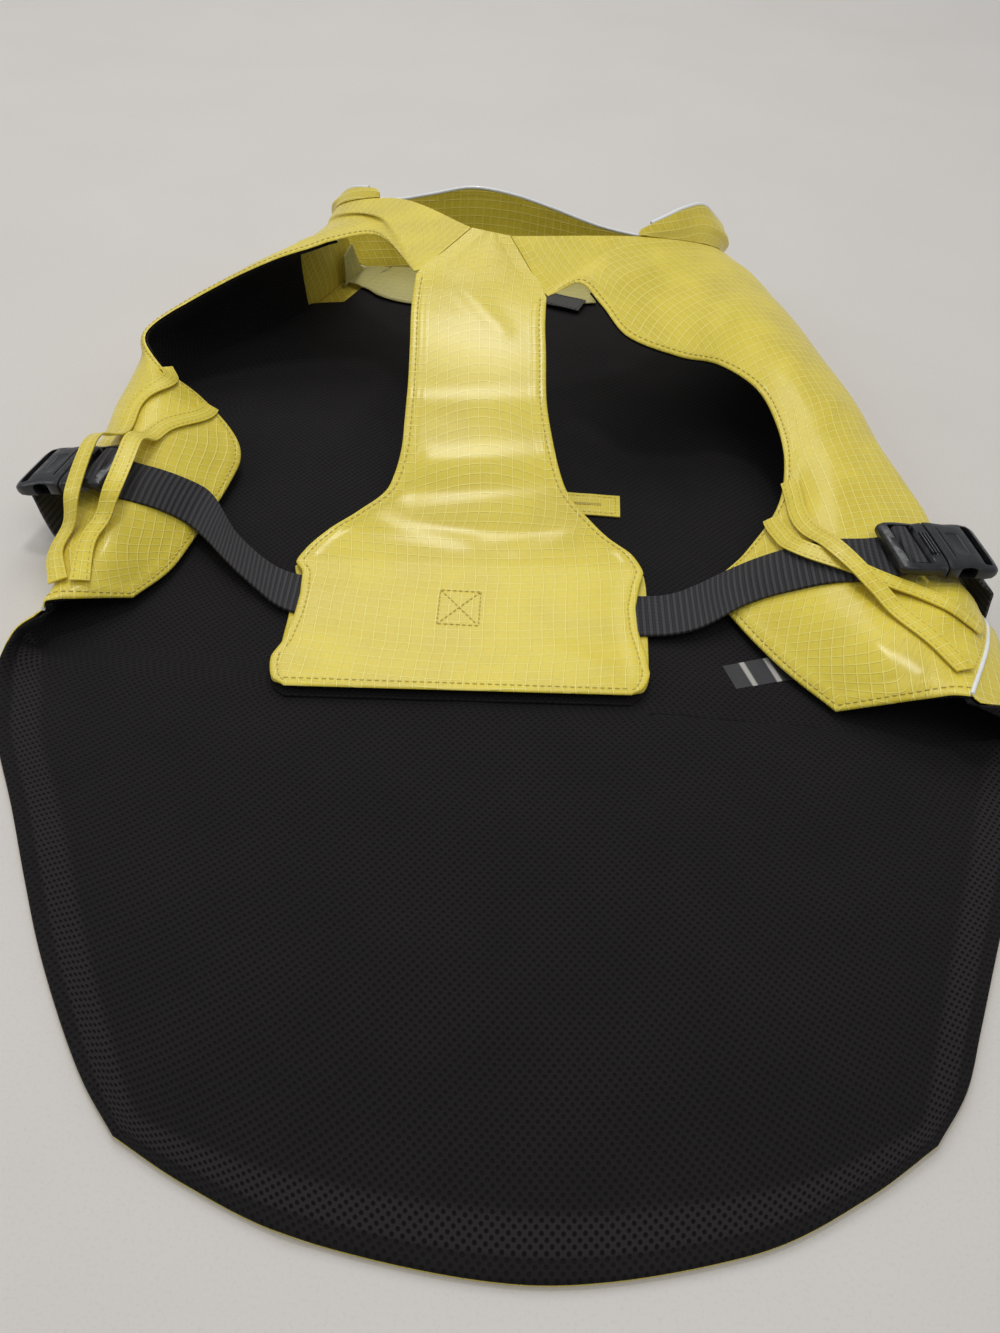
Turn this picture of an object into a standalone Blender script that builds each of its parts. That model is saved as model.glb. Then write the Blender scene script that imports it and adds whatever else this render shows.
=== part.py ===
"""Dog raincoat, laid open on its back: ripstop shell down, mesh lining up.

Frame: +Z up from the surface the coat lies on, +Y from the rump hem towards the neck,
origin under the middle of the coat.  The tables hold millimetres; their y is counted from
the rump hem, their x is positive on the right as seen from the rump, z is height.
"""
from collections import namedtuple
import math

import bmesh
import bpy
from mathutils import Matrix, Vector

MM = 0.001
ORIGIN = Vector((-4.0, 302.55, 0.0))    # middle of the coat's outline, in table millimetres

# ---- cloth thicknesses and clearances, mm
SHELL = 1.0             # coated ripstop with its seam tape
MESH = 1.2              # spacer-mesh lining
GAP = 0.3               # between pieces that touch
LINING_DROP = SHELL + 2 * GAP
INSIDE = LINING_DROP + MESH     # from the shell's outer face to the lining's inner face
SEAM_HALF = 1.5         # from the seam line to each panel's edge, filled by the piping
THROAT_INSET = 0.7      # chest panel back from the throat seams
COLLAR_CLOTH = 1.6      # two layers of ripstop
STRIP_CLOTH = 1.0       # folded ripstop of the daisy strips
STRIP_WIDTH = 8.0
WEB_CLOTH = 1.4
WEB_WIDTH = 25.0
PIPING_WIDTH = 1.2
PIPING_CLOTH = 0.6

# ---- the side panels: one row for each section round the girth, hem first, neck last
Section = namedtuple("Section", "edge crown out under seam")

LEFT = [
    Section((-157, 256, 8.5), (-174, 244, 17), (-182, 240, 20), (-186, 238, 20.5), (-187.5, 236, 17)),
    Section((-147, 276, 7), (-171, 266, 25), (-192, 268, 18), (-191, 269, 7), (-187, 270, 3)),
    Section((-142, 297, 7), (-169, 284, 29), (-194, 290, 19), (-188, 292, 1), (-172, 293, 0)),
    Section((-138, 318, 8), (-170, 307, 32), (-197, 317, 20), (-187, 318, 0), (-160, 318, 0)),
    Section((-134, 341, 9), (-173, 327, 33), (-198, 339, 20), (-187, 340, 0), (-156, 340, 0)),
    Section((-132, 360, 12), (-174, 347, 34), (-197, 360, 20), (-187, 361, 0), (-152, 362, 0)),
    Section((-139, 376, 16), (-175, 364, 35), (-198, 383, 21), (-187, 384, 0), (-148, 384, 0)),
    Section((-158, 395, 23), (-176, 384, 36), (-196, 406, 24), (-185, 407, 0), (-144, 406, 0)),
    Section((-180, 406, 34), (-186, 407, 35), (-195, 423, 27), (-184, 424, 0), (-139, 424, 0)),
    Section((-192, 427, 40), (-195, 432, 36), (-198, 441, 26), (-184, 446, 0), (-134, 446, 0)),
    Section((-171, 453, 48), (-177, 458, 43), (-186, 466, 26), (-174, 472, 0), (-128, 472, 0)),
    Section((-144, 470, 57), (-153, 476, 52), (-166, 486, 30), (-156, 496, 0), (-121, 498, 0)),
    Section((-119, 480, 64), (-127, 492, 60), (-143, 508, 36), (-138, 524, 0), (-114, 530, 0)),
    Section((-80, 484, 73), (-88, 508, 71.5), (-118, 536, 49), (-122, 556, 0), (-102, 562, 0)),
    Section((-52, 434, 76), (-72, 489, 77.5), (-113, 544, 54), (-113, 572, 4), (-93, 582, 0)),
    Section((-27, 466, 87), (-66, 515, 80), (-110, 551, 57), (-104, 585, 10), (-84, 597, 0)),
]
RIGHT = [
    Section((134, 212, 7), (158, 207, 20), (166, 205, 25), (172, 204, 28), (178, 202, 30)),
    Section((116, 235, 7), (151, 233, 27), (172, 236, 30), (186, 238, 28), (197, 240, 23)),
    Section((100, 263, 7), (149, 262, 29), (186, 265, 29), (200, 267, 21.5), (204, 268, 14)),
    Section((92, 284, 8), (148, 286, 31), (198, 291, 20), (200.5, 294, 6), (192.5, 296, 0)),
    Section((108, 305, 12), (149, 306, 33), (195, 321, 20), (190, 322, 0), (182, 322, 0)),
    Section((124, 328, 22), (151, 336, 36), (188, 350, 23), (180, 351, 0), (172, 350, 0)),
    Section((129, 353, 31), (151, 365, 39), (181, 378, 25), (171, 380, 0), (163, 378, 0)),
    Section((127, 379, 37), (145, 391, 44), (175, 412, 28), (164, 414, 0), (154, 412, 0)),
    Section((119, 399, 43), (136, 418, 49), (164, 445, 32), (153, 448, 0), (144, 445, 0)),
    Section((101, 409, 49), (123, 439, 54), (153, 479, 36), (141, 484, 0), (132, 480, 0)),
    Section((80, 404, 55), (105, 457, 60), (140, 511, 40), (130, 520, 0), (120, 518, 0)),
    Section((54, 406, 63), (88, 472, 65), (131, 525, 44), (122, 542, 0), (110, 545, 0)),
    Section((41, 423, 70), (70, 474, 71), (126, 529, 46), (118, 556, 0), (102, 564, 0)),
    Section((29, 436, 75), (58, 477, 74.5), (122.5, 533, 47), (113, 566, 2), (95, 577, 0)),
    Section((13, 424, 72), (54, 482, 76.5), (119, 537, 48), (109, 573, 6), (89, 588, 0)),
    Section((-6, 458, 87), (58, 491, 76.5), (115, 541, 49), (105, 583, 10), (84, 597, 0)),
]
THROAT = len(LEFT) - 2          # the section whose edge is the lower end of the throat seam
NECK = len(LEFT) - 1            # the section that is the neck edge

# ---- the back panel behind the side seams: flat rows, then rows whose ends curl up
FlatRow = namedtuple("FlatRow", "mid_y left_x left_y right_x right_y")
RUMP_FLAT = [
    FlatRow(-1, -103, 32, 135, 42),
    FlatRow(20, -116, 47, 148, 59),
    FlatRow(46, -129, 66, 158, 80),
    FlatRow(78, -144, 91, 169, 104),
    FlatRow(112, -158, 118, 181, 130),
    FlatRow(146, -173, 148, 193, 157),
    FlatRow(176, -190, 180, 202, 180),
]
HEM_ROUNDING = 2.1              # power of the curve that a flat row follows
FLAT_REACH = (1.0, 0.8, 0.5)    # where a flat row's points lie, from its end to its middle

CurledRow = namedtuple("CurledRow", "left left_out left_bend mid right_bend right_out right")
RUMP_CURLED = [
    CurledRow((-197, 200, 1), (-185, 201, 0), (-120, 201, 0), (2, 194, 0),
              (130, 193, 0), (196, 192, 1), (207, 191, 4)),
    CurledRow((-201, 215, 5), (-192, 216, 1), (-150, 214, 0), (2, 203, 0),
              (150, 200, 0), (203, 198, 5), (208, 198, 13)),
    CurledRow((-197, 227, 13), (-198, 227, 6), (-187, 227, 0), (2, 212, 0),
              (190, 203, 0), (208, 202, 12), (198, 202, 24)),
]
SEAM_CURLS = {      # sections whose seam stands off the surface: (bend, out) on that side
    "left": {0: ((-186, 236, 0), (-193, 236, 9)), 1: ((-177, 270, 0), (-185.5, 270, 0.5))},
    "right": {0: ((198, 204, 0), (208, 204, 14)), 1: ((200, 241, 0), (208, 241, 12)),
              2: ((200, 269, 0), (207, 269, 8))},
}

# ---- the chest panel: throat first, bottom hem last; *_tuck is how far the upper layer's
# edge lies inside the lower layers' at the strap channel, *_drop how far those lie below it
ChestRow = namedtuple("ChestRow", "left right left_tuck right_tuck facing_drop lining_drop")
CHEST = [
    ChestRow((-27, 466, 87), (-6, 458, 87), 0, 0, 1.3, 1.3),
    ChestRow((-39.5, 450, 81.5), (3.5, 441, 79.5), 0, 0, 1.3, 1.3),
    ChestRow((-52, 434, 76), (13, 424, 72), 0, 0, 1.3, 1.3),
    ChestRow((-53, 416, 68), (13, 411, 66), 0, 0, 1.3, 1.3),
    ChestRow((-52, 395, 58), (14, 394, 58), 0, 0, 1.3, 1.3),
    ChestRow((-51, 370, 47), (15, 372, 48), 0, 0, 1.3, 1.3),
    ChestRow((-51, 347, 36), (19, 350, 37), 0, 0, 1.3, 1.3),
    ChestRow((-55, 325, 25), (26, 327, 26), 0, 0, 1.3, 1.3),
    ChestRow((-68, 312, 19), (38, 313, 19), 0, 0, 1.3, 1.3),
    ChestRow((-80, 303, 15), (46, 306, 15.5), 0, 0, 1.3, 1.3),
    ChestRow((-89, 292, 12), (57, 298, 12.5), 0, 0, 1.3, 2.6),
    ChestRow((-93, 284, 10), (62, 289, 10.3), 0.5, 0.5, 2.2, 3.8),
    ChestRow((-92, 278.5, 9.2), (63, 281, 9.4), 3.0, 3.5, 3.9, 5.2),
    ChestRow((-91.5, 264, 8.6), (62.5, 266, 8.7), 4.0, 5.5, 3.1, 4.5),
    ChestRow((-91, 250, 8.4), (62, 252, 8.4), 3.0, 4.5, 3.0, 4.3),
    ChestRow((-91, 236, 8.4), (61.5, 238, 8.4), 1.2, 1.5, 3.0, 4.3),
    ChestRow((-93, 225, 8.4), (61, 227, 8.4), 0, 0, 3.0, 4.3),
    ChestRow((-91, 214, 8.4), (58, 218, 8.4), 0, 0, 3.0, 4.3),
    ChestRow((-85, 209, 8.4), (53, 214, 8.4), 0, 0, 3.0, 4.3),
]
STRAP_FOOT = 9                  # row where the strap has widened into the chest panel
CHEST_BLACK_REACH = 1.5         # lining beyond the chest panel's bottom hem

# ---- the collar: r counts round the neck, 0 left throat, 4..5 nape, 9 right throat
CollarRow = namedtuple("CollarRow", "r middle tip")
COLLAR = [
    CollarRow(1.30, (-82, 530, 77.5), (-83.5, 534, 77.5)),
    CollarRow(1.55, (-94, 541, 73), (-95.5, 546, 73)),
    CollarRow(1.80, (-104.5, 550, 66), (-104, 555, 67)),
    CollarRow(2.10, (-113, 558, 57), (-111, 562, 58)),
    CollarRow(2.60, (-114, 577, 37), (-115, 580, 48)),
    CollarRow(3.10, (-107, 593, 26), (-108, 597, 44)),
    CollarRow(3.60, (-95, 600, 24), (-95, 604, 43)),
    CollarRow(4.00, (-82, 602, 24), (-80, 605, 43)),
    CollarRow(4.15, (-59, 603, 25), (-57, 605, 48)),
    CollarRow(4.30, (-34, 604, 27), (-33, 605, 53)),
    CollarRow(4.45, (-9, 604, 26), (-8, 605, 50)),
    CollarRow(4.60, (17, 604, 22), (17, 605, 43)),
    CollarRow(4.80, (50, 603, 17), (50, 604, 33)),
    CollarRow(5.00, (83, 601, 15), (83, 603, 28)),
    CollarRow(5.40, (98, 599, 17), (102, 602, 28)),
    CollarRow(5.90, (110, 590, 24), (114, 593, 36)),
    CollarRow(6.40, (119, 573, 34), (118, 576, 46)),
    CollarRow(6.80, (121, 553, 48), (117, 558, 56)),
    CollarRow(7.10, (114, 540, 61), (110, 549, 66)),
    CollarRow(7.40, (101, 529, 69), (100, 537, 76.5)),
    CollarRow(7.60, (87, 515, 72), (88, 523, 79.5)),
    CollarRow(7.80, (74, 504, 74), (75, 510, 78.5)),
    CollarRow(7.95, (62, 496, 75.5), (63, 499, 77)),
]
COLLAR_SEAM = 3.0               # from the neck edge to the collar's lower edge

# ---- the neck facing: how far rearwards from the neck edge (in sections) it reaches at r
FacingRow = namedtuple("FacingRow", "r depth")
FACING = [
    FacingRow(2.50, 0.9), FacingRow(3.00, 1.1), FacingRow(4.00, 1.8), FacingRow(4.167, 2.3),
    FacingRow(4.333, 2.7), FacingRow(4.50, 2.8), FacingRow(4.667, 2.7),
]
FACING_DROP = INSIDE + 1.2

# ---- webbing and daisy strips that lie on a side panel: where along it (section, crossing)
# and how far off its face; crossing 0 edge, 1 crown, 2 out, 4 seam
OnPanel = namedtuple("OnPanel", "section crossing lift")
DAISY_LEFT_OUTER = [
    OnPanel(7.8, 0.10, 0.8), OnPanel(7.0, 0.85, 0.8), OnPanel(6.2, 1.18, 0.8),
    OnPanel(5.3, 1.20, 0.8), OnPanel(4.5, 1.20, 0.8), OnPanel(4.15, 1.26, 8.0),
    OnPanel(3.8, 1.32, 12.6), OnPanel(3.0, 1.36, 13.4), OnPanel(2.25, 1.40, 12.8),
    OnPanel(1.95, 1.46, 9.0), OnPanel(1.6, 1.60, 0.8), OnPanel(1.1, 1.90, 0.8),
    OnPanel(0.3, 2.10, 0.8),
]
DAISY_LEFT_INNER = [
    OnPanel(6.6, 0.10, 0.8), OnPanel(5.9, 0.50, 0.8), OnPanel(5.2, 0.75, 0.8),
    OnPanel(4.6, 0.82, 0.8), OnPanel(4.15, 0.90, 7.5), OnPanel(3.8, 0.94, 11.6),
    OnPanel(3.0, 0.97, 12.2), OnPanel(2.3, 0.99, 11.6), OnPanel(2.05, 1.03, 7.5),
    OnPanel(1.75, 1.10, 0.8), OnPanel(1.3, 1.25, 0.8), OnPanel(0.8, 1.22, 0.8),
    OnPanel(0.3, 0.95, 0.8),
]
DAISY_RIGHT_OVER = [
    OnPanel(5.40, 0.14, 1.0), OnPanel(4.6, 0.42, 0.9), OnPanel(3.65, 0.72, 0.7),
    OnPanel(3.1, 0.83, 4.6), OnPanel(2.6, 0.90, 6.4), OnPanel(2.0, 1.02, 5.6),
    OnPanel(1.5, 1.28, 0.7), OnPanel(1.0, 1.75, 0.8), OnPanel(0.6, 2.50, 0.8),
    OnPanel(0.35, 3.30, 0.8),
]
DAISY_RIGHT_UNDER = [
    OnPanel(4.60, 0.10, 1.8), OnPanel(4.1, 0.36, 2.0), OnPanel(3.6, 0.50, 1.8),
    OnPanel(3.25, 0.60, 3.4), OnPanel(2.5, 0.86, 3.1), OnPanel(2.1, 1.20, 3.4),
    OnPanel(1.9, 1.52, 0.7), OnPanel(1.6, 1.95, 0.8), OnPanel(1.4, 2.50, 0.8),
    OnPanel(1.15, 3.50, 0.8),
]

# webbing: free rows give both edges, rows on a panel give the middle line
WebRow = namedtuple("WebRow", "far near")
WEB_FREE_LEFT = [
    WebRow((-126, 304, 10.4), (-122, 279, 10.4)), WebRow((-116, 295, 8.4), (-111, 270.5, 8.4)),
    WebRow((-105, 285, 7.0), (-101, 261, 7.0)), WebRow((-92, 277, 6.4), (-90, 252.5, 6.4)),
]
WEB_FREE_RIGHT = [
    WebRow((62, 276, 6.4), (62, 251, 6.4)), WebRow((72, 277, 7.2), (74, 252.5, 7.2)),
    WebRow((83, 280, 10.0), (87, 255.5, 9.2)),
]
WEB_CHANNEL = (-60, -30, 0, 30)         # x of the webbing's rows inside the chest panel
WEB_CHANNEL_Z = 6.4
WEB_CHANNEL_Y = (276.0, 251.0)          # far and near edge there
WEB_LIFT = 1.3                          # from a panel's face to the webbing's middle
WEB_LEFT_LINE = [(3.0, 0.10), (3.03, 0.3), (3.03, 0.5), (3.0, 0.7), (2.96, 0.9)]
WEB_RIGHT_LINE = [(2.85, 0.12), (2.85, 0.3), (2.8, 0.5), (2.76, 0.7), (2.73, 0.9), (2.7, 1.08)]
WEB_HALF_SECTIONS = 0.56                # half the webbing's width, in sections

ANCHOR_LEFT = [
    WebRow((-205, 325, 13), (-208, 300, 13)), WebRow((-200, 322, 4.5), (-203, 297, 4.5)),
    WebRow((-190.5, 319, 1.2), (-192.5, 294, 1.2)),
]
ANCHOR_RIGHT = [
    WebRow((205.5, 300, 18), (210.5, 276, 18)), WebRow((203, 298, 8), (210.5, 274, 8)),
    WebRow((199.5, 297.5, 2.5), (207.5, 273, 2.0)),
]

# ---- side-release buckles, in their own frame: +X from the adjuster to the anchor, +Z outer face
BUCKLE_WIDTH = 33.0
SLIDER_LENGTH = 21.0
SLIDER_DEPTH = 6.0
SLIDER_SLOTS = ((-17.5, -13.0), (-9.5, -5.5))   # openings for the webbing, along X
SLOT_WIDTH = 26.6
POCKET = (-17.5, -5.5, 0.6)     # sunk window round the middle bar: from, to, floor height
WEB_WRAP = (                    # the webbing's middle line through the slider: x, z
    (-18.1, -4.4), (-15.8, -3.6), (-15.0, -0.9), (-14.5, 0.9), (-13.2, 1.9), (-9.3, 1.9),
    (-7.9, 0.6), (-7.4, -2.4),
)
SOCKET_LENGTH = 24.0
SOCKET_DEPTH = 8.4
SOCKET_CAVITY = (15.0, 25.0, 5.2)
SOCKET_SLOT = (17.3, 21.3)
PRONG = (14.5, 3.6, 4.2)
PRONG_OFFSET = 9.6
WINDOW = (8.0, 7.0)             # side openings for the prong tips: along X, deep in Y
BUCKLE_PLACES = {       # middle of the joint line, turn about Z, then tilt about Y (degrees)
    "left": ((-192.1, 311.3, 33.5), 168.0, 15.0),
    "right": ((182.0, 285.3, 34.2), 10.0, 7.0),
}

# ---- small pieces sewn on the lining: centre x and y, size along and across, turn, height
Patch = namedtuple("Patch", "x y length width turn base thickness")
LEASH_WELT = Patch(14, 348, 80, 17, -1.5, INSIDE + GAP, 1.0)
NECK_LABEL = Patch(17, 561, 46, 15, -20, FACING_DROP + SHELL + GAP, 0.8)
SIZE_LABEL = Patch(108, 236, 28, 14, 18, INSIDE + GAP, 0.7)

YELLOW = (0.80, 0.66, 0.09, 1.0)
BLACK_MESH = (0.012, 0.010, 0.012, 1.0)
BLACK_WEB = (0.022, 0.020, 0.025, 1.0)
BLACK_PLASTIC = (0.012, 0.012, 0.013, 1.0)
WHITE_PIPING = (0.90, 0.90, 0.86, 1.0)
PALE_FACING = (0.46, 0.42, 0.14, 1.0)
LABEL_GREY = (0.28, 0.30, 0.32, 1.0)


# ------------------------------------------------------------------ curves through rows
def slopes_monotone(values):
    """Slopes that keep a curve through the values from overshooting them."""
    steps = [b - a for a, b in zip(values, values[1:])]
    inner = [0.0 if a * b <= 0 else 2 * a * b / (a + b) for a, b in zip(steps, steps[1:])]
    return [steps[0], *inner, steps[-1]]


def slopes_smooth(values):
    """Slopes of a smooth curve through the values."""
    inner = [(b - a) / 2 for a, b in zip(values, values[2:])]
    return [values[1] - values[0], *inner, values[-1] - values[-2]]


def hermite(values, slopes, t):
    i = min(max(int(math.floor(t)), 0), len(values) - 2)
    u = t - i
    a, b, da, db = values[i], values[i + 1], slopes[i], slopes[i + 1]
    return (a * (1 + 2 * u) * (1 - u) ** 2 + da * u * (1 - u) ** 2
            + b * u * u * (3 - 2 * u) + db * u * u * (u - 1))


def through(points, t, slopes):
    """The point at t on a curve through 3-D points at 0, 1, 2, ..."""
    axes = list(zip(*points))
    return Vector([hermite(axis, slopes(axis), t) for axis in axes])


def above_ground(point):
    return Vector((point.x, point.y, max(point.z, 0.0)))


def side_point(sections, s, c):
    """A side panel's outer face at section s, crossing c."""
    if s >= THROAT:
        low, high = (through(sections[i], c, slopes_monotone) for i in (THROAT, NECK))
        return above_ground(low.lerp(high, s - THROAT))
    first = max(int(math.floor(s)) - 1, 0)
    near = [through(row, c, slopes_monotone) for row in sections[first:min(first + 4, THROAT + 1)]]
    return above_ground(through(near, s - first, slopes_smooth))


def flat_row(row):
    """Seven points along a flat row, whose ends lie further from the hem than its middle."""
    mid_x = (row.left_x + row.right_x) / 2
    sides = ((row.left_x, row.left_y), (row.right_x, row.right_y))
    left, right = (
        [(mid_x + (x - mid_x) * f, row.mid_y + (y - row.mid_y) * f ** HEM_ROUNDING, 0.0)
         for f in FLAT_REACH] for x, y in sides)
    return [*left, (mid_x, row.mid_y, 0.0), *reversed(right)]


def seam_row(s):
    """Seven points across the back panel from the left seam to the right one."""
    left, right = LEFT[s].seam, RIGHT[s].seam
    mid = tuple((a + b) / 2 for a, b in zip(left[:2], right[:2])) + (0.0,)
    sides = []
    for end, curls in ((left, SEAM_CURLS["left"]), (right, SEAM_CURLS["right"])):
        if s in curls:
            bend, out = curls[s]
        else:
            out, bend = (tuple(m + (e - m) * f for m, e in zip(mid, end)) for f in (0.8, 0.5))
        sides.append([end, out, bend])
    return [*sides[0], mid, *reversed(sides[1])]


BACK = [flat_row(row) for row in RUMP_FLAT] + [list(row) for row in RUMP_CURLED]
RUMP_ROWS = len(BACK)
BACK += [seam_row(s) for s in range(NECK + 1)]


def back_point(b, t):
    """The back panel's outer face at row b, crossing t from 0 (left) to 6 (right)."""
    first = max(int(math.floor(b)) - 1, 0)
    near = [through(row, t, slopes_monotone) for row in BACK[first:first + 4]]
    return above_ground(through(near, b - first, slopes_smooth))


def neck_point(s, r):
    """A point at section s; r runs round the girth, 0 left edge, 4..5 back, 9 right edge."""
    if r <= 4:
        return side_point(LEFT, s, r)
    if r >= 5:
        return side_point(RIGHT, s, 9 - r)
    return back_point(RUMP_ROWS + s, 6 * (r - 4))


# ------------------------------------------------------------------ cloth from a grid of points
def toward(point, other, distance):
    return point + (other - point).normalized() * distance


def grid_mesh(rows, flip=False, offset=0.0):
    """An open surface through rows of points in mm, moved along its normals, in metres."""
    bm = bmesh.new()
    verts = [[bm.verts.new(p) for p in row] for row in rows]
    for lower, upper in zip(verts, verts[1:]):
        for a, b, c, d in zip(lower, lower[1:], upper[1:], upper):
            for face in ((a, b, c), (a, c, d)):
                bm.faces.new(reversed(face) if flip else face)
    bm.normal_update()
    moved = [(v, v.co + v.normal * offset) for row in verts for v in row]
    for vert, place in moved:
        vert.co = (place - ORIGIN) * MM
    return bm


def cloth(name, rows, thickness, material, flip=False, offset=0.0, both_ways=False):
    """A cloth wall: the surface through the rows, thickened away from its outer face."""
    bm = grid_mesh(rows, flip, offset)
    mesh = bpy.data.meshes.new(name)
    bm.to_mesh(mesh)
    bm.free()
    obj = new_object(name, mesh, material)
    wall = obj.modifiers.new("wall", "SOLIDIFY")
    wall.thickness = thickness * MM
    wall.offset = 0.0 if both_ways else -1.0
    return obj


def new_object(name, mesh, material):
    obj = bpy.data.objects.new(name, mesh)
    mesh.materials.append(material)
    PARTS.objects.link(obj)
    return obj


def material(name, colour, roughness):
    made = bpy.data.materials.new(name)
    made.use_nodes = True
    shader = made.node_tree.nodes["Principled BSDF"]
    shader.inputs["Base Color"].default_value = colour
    shader.inputs["Roughness"].default_value = roughness
    shader.inputs["Metallic"].default_value = 0.0
    return made


def collection(name):
    made = bpy.data.collections.new(name)
    bpy.context.scene.collection.children.link(made)
    return made


# ------------------------------------------------------------------ the coat's panels
SIDE_CROSSINGS = (0, 1 / 3, 2 / 3, 1, 4 / 3, 5 / 3, 2, 2.5, 3, 4)
BACK_CROSSINGS = (0, 0.5, 1, 1.5, 2, 2.5, 3, 3.5, 4, 4.5, 5, 5.5, 6)


def side_rows(sections):
    rows = []
    for s in range(NECK + 1):
        row = [side_point(sections, s, c) for c in SIDE_CROSSINGS]
        row[-1] = toward(row[-1], row[-2], SEAM_HALF)
        rows.append(row)
    return rows


def back_rows():
    rows = [[back_point(b, t) for t in BACK_CROSSINGS] for b in range(len(BACK))]
    for row in rows[RUMP_ROWS:]:
        row[0], row[-1] = toward(row[0], row[1], SEAM_HALF), toward(row[-1], row[-2], SEAM_HALF)
    return rows


def build_panels():
    cloth("shell_back", back_rows(), SHELL, RIPSTOP, flip=True)
    cloth("shell_left", side_rows(LEFT), SHELL, RIPSTOP, flip=True)
    cloth("shell_right", side_rows(RIGHT), SHELL, RIPSTOP, flip=False)
    cloth("lining_back", back_rows(), MESH, LINING, flip=True, offset=-LINING_DROP)
    cloth("lining_left", side_rows(LEFT), MESH, LINING, True, -LINING_DROP)
    cloth("lining_right", side_rows(RIGHT), MESH, LINING, False, -LINING_DROP)


def build_facing():
    rows = []
    for k in range(4):
        rows.append([neck_point(NECK - 0.06 - f.depth * (1 - k / 3), f.r) for f in FACING])
    cloth("neck_facing", rows, SHELL, FACING_CLOTH, True, -FACING_DROP)


# ------------------------------------------------------------------ chest panel and its layers
def chest_rows(first, last, columns, drop=None, tuck=False, reach=0.0):
    """Rows across the chest panel, from its left edge to its right one."""
    rows = []
    for k in range(first, last + 1):
        row = CHEST[k]
        left, right = Vector(row.left), Vector(row.right)
        down = Vector((0, 0, -getattr(row, drop))) if drop else Vector((0, 0, 0))
        inset_left = row.left_tuck if tuck else 0.0
        inset_right = row.right_tuck if tuck else 0.0
        if k <= 2:
            inset_left = inset_right = THROAT_INSET
        left, right = toward(left, right, inset_left), toward(right, left, inset_right)
        rows.append([left.lerp(right, i / (columns - 1)) + down for i in range(columns)])
    rows[-1] = [p + Vector((0, -reach, 0)) for p in rows[-1]]
    return rows


def build_chest():
    last = len(CHEST) - 1
    cloth("chest_panel", chest_rows(0, last, 7, tuck=True), SHELL, RIPSTOP, flip=True)
    facing = chest_rows(STRAP_FOOT + 2, last, 5, "facing_drop")
    cloth("chest_facing", facing, SHELL, RIPSTOP, flip=True)
    lining = chest_rows(3, last, 5, "lining_drop", reach=CHEST_BLACK_REACH)
    cloth("chest_lining", lining, SHELL, LINING, flip=True)


# ------------------------------------------------------------------ collar
def collar_rows():
    rows = []
    for row in COLLAR:
        base = neck_point(NECK, row.r)
        rear = neck_point(NECK - 0.5, row.r)
        base = base - toward(base, rear, COLLAR_SEAM) + base
        base.z = max(base.z, COLLAR_CLOTH / 4)
        middle, tip = Vector(row.middle), Vector(row.tip)
        rows.append([base, base.lerp(middle, 0.5), middle, middle.lerp(tip, 0.5), tip])
    return rows


def tube(name, points, radius, made_of):
    """A round cord through points in mm."""
    curve = bpy.data.curves.new(name, "CURVE")
    curve.dimensions = "3D"
    curve.bevel_depth = radius * MM
    curve.bevel_resolution = 1
    curve.use_fill_caps = True
    spline = curve.splines.new("POLY")
    spline.points.add(len(points) - 1)
    for target, point in zip(spline.points, points):
        target.co = (*((point - ORIGIN) * MM), 1.0)
    obj = bpy.data.objects.new(name, curve)
    curve.materials.append(made_of)
    PARTS.objects.link(obj)
    return obj


def build_collar():
    rows = collar_rows()
    cloth("collar", rows, COLLAR_CLOTH, RIPSTOP, both_ways=True)
    radius = 0.9
    rim = [toward(row[-1], row[-2], -(radius + 2 * GAP)) for row in rows[1:-1]]
    tube("collar_piping", rim, radius, PIPING)


# ------------------------------------------------------------------ seam piping
def build_seam_piping():
    for side, sections in (("left", LEFT), ("right", RIGHT)):
        rows = []
        for s in range(NECK + 1):
            seam = side_point(sections, s, 4)
            inward = (side_point(sections, s, 3) - seam).normalized()
            half = inward * PIPING_WIDTH / 2
            rows.append([seam + half, seam, seam - half])
        obj = cloth(f"seam_piping_{side}", rows, PIPING_CLOTH, PIPING, side == "left")
        lift_off_ground(obj)


def lift_off_ground(obj):
    for vert in obj.data.vertices:
        vert.co.z = max(vert.co.z, 0.0)


# ------------------------------------------------------------------ strips and webbing on panels
def panel_normal(sections, s, c, outward):
    step = 0.05
    a = side_point(sections, s + step, c) - side_point(sections, s - step, c)
    b = side_point(sections, s, c + step) - side_point(sections, s, max(c - step, 0))
    return a.cross(b).normalized() * outward


def on_panel(sections, s, c, lift, outward):
    return side_point(sections, s, c) + panel_normal(sections, s, c, outward) * lift


def ribbon_rows(centre, normals, width):
    """Three points across a ribbon at each point of its middle line."""
    rows = []
    last = len(centre) - 1
    for i, (point, normal) in enumerate(zip(centre, normals)):
        along = (centre[min(i + 1, last)] - centre[max(i - 1, 0)]).normalized()
        across = along.cross(normal).normalized() * width / 2
        rows.append([point - across, point, point + across])
    return rows


def daisy_strip(name, sections, path, outward):
    """A strip tacked at intervals to a side panel, lifting off it in loops."""
    def place(t):
        s, c, lift = through(path, t, slopes_monotone)
        normal = panel_normal(sections, s, c, outward)
        return side_point(sections, s, c) + normal * (lift + STRIP_CLOTH / 2), normal

    count = 2 * (len(path) - 1)
    centre, normals = zip(*(place(i / 2) for i in range(count + 1)))
    rows = ribbon_rows(centre, normals, STRIP_WIDTH)
    cloth(name, rows, STRIP_CLOTH, RIPSTOP, both_ways=True)


def web_on_panel(sections, line, outward):
    """Rows of webbing lying on a side panel, its far edge first."""
    rows = []
    for s, c in line:
        edges = [on_panel(sections, s + d, c, WEB_LIFT, outward)
                 for d in (WEB_HALF_SECTIONS, WEB_HALF_SECTIONS / 2, 0, -WEB_HALF_SECTIONS / 2,
                           -WEB_HALF_SECTIONS)]
        rows.append(edges)
    return rows


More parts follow.
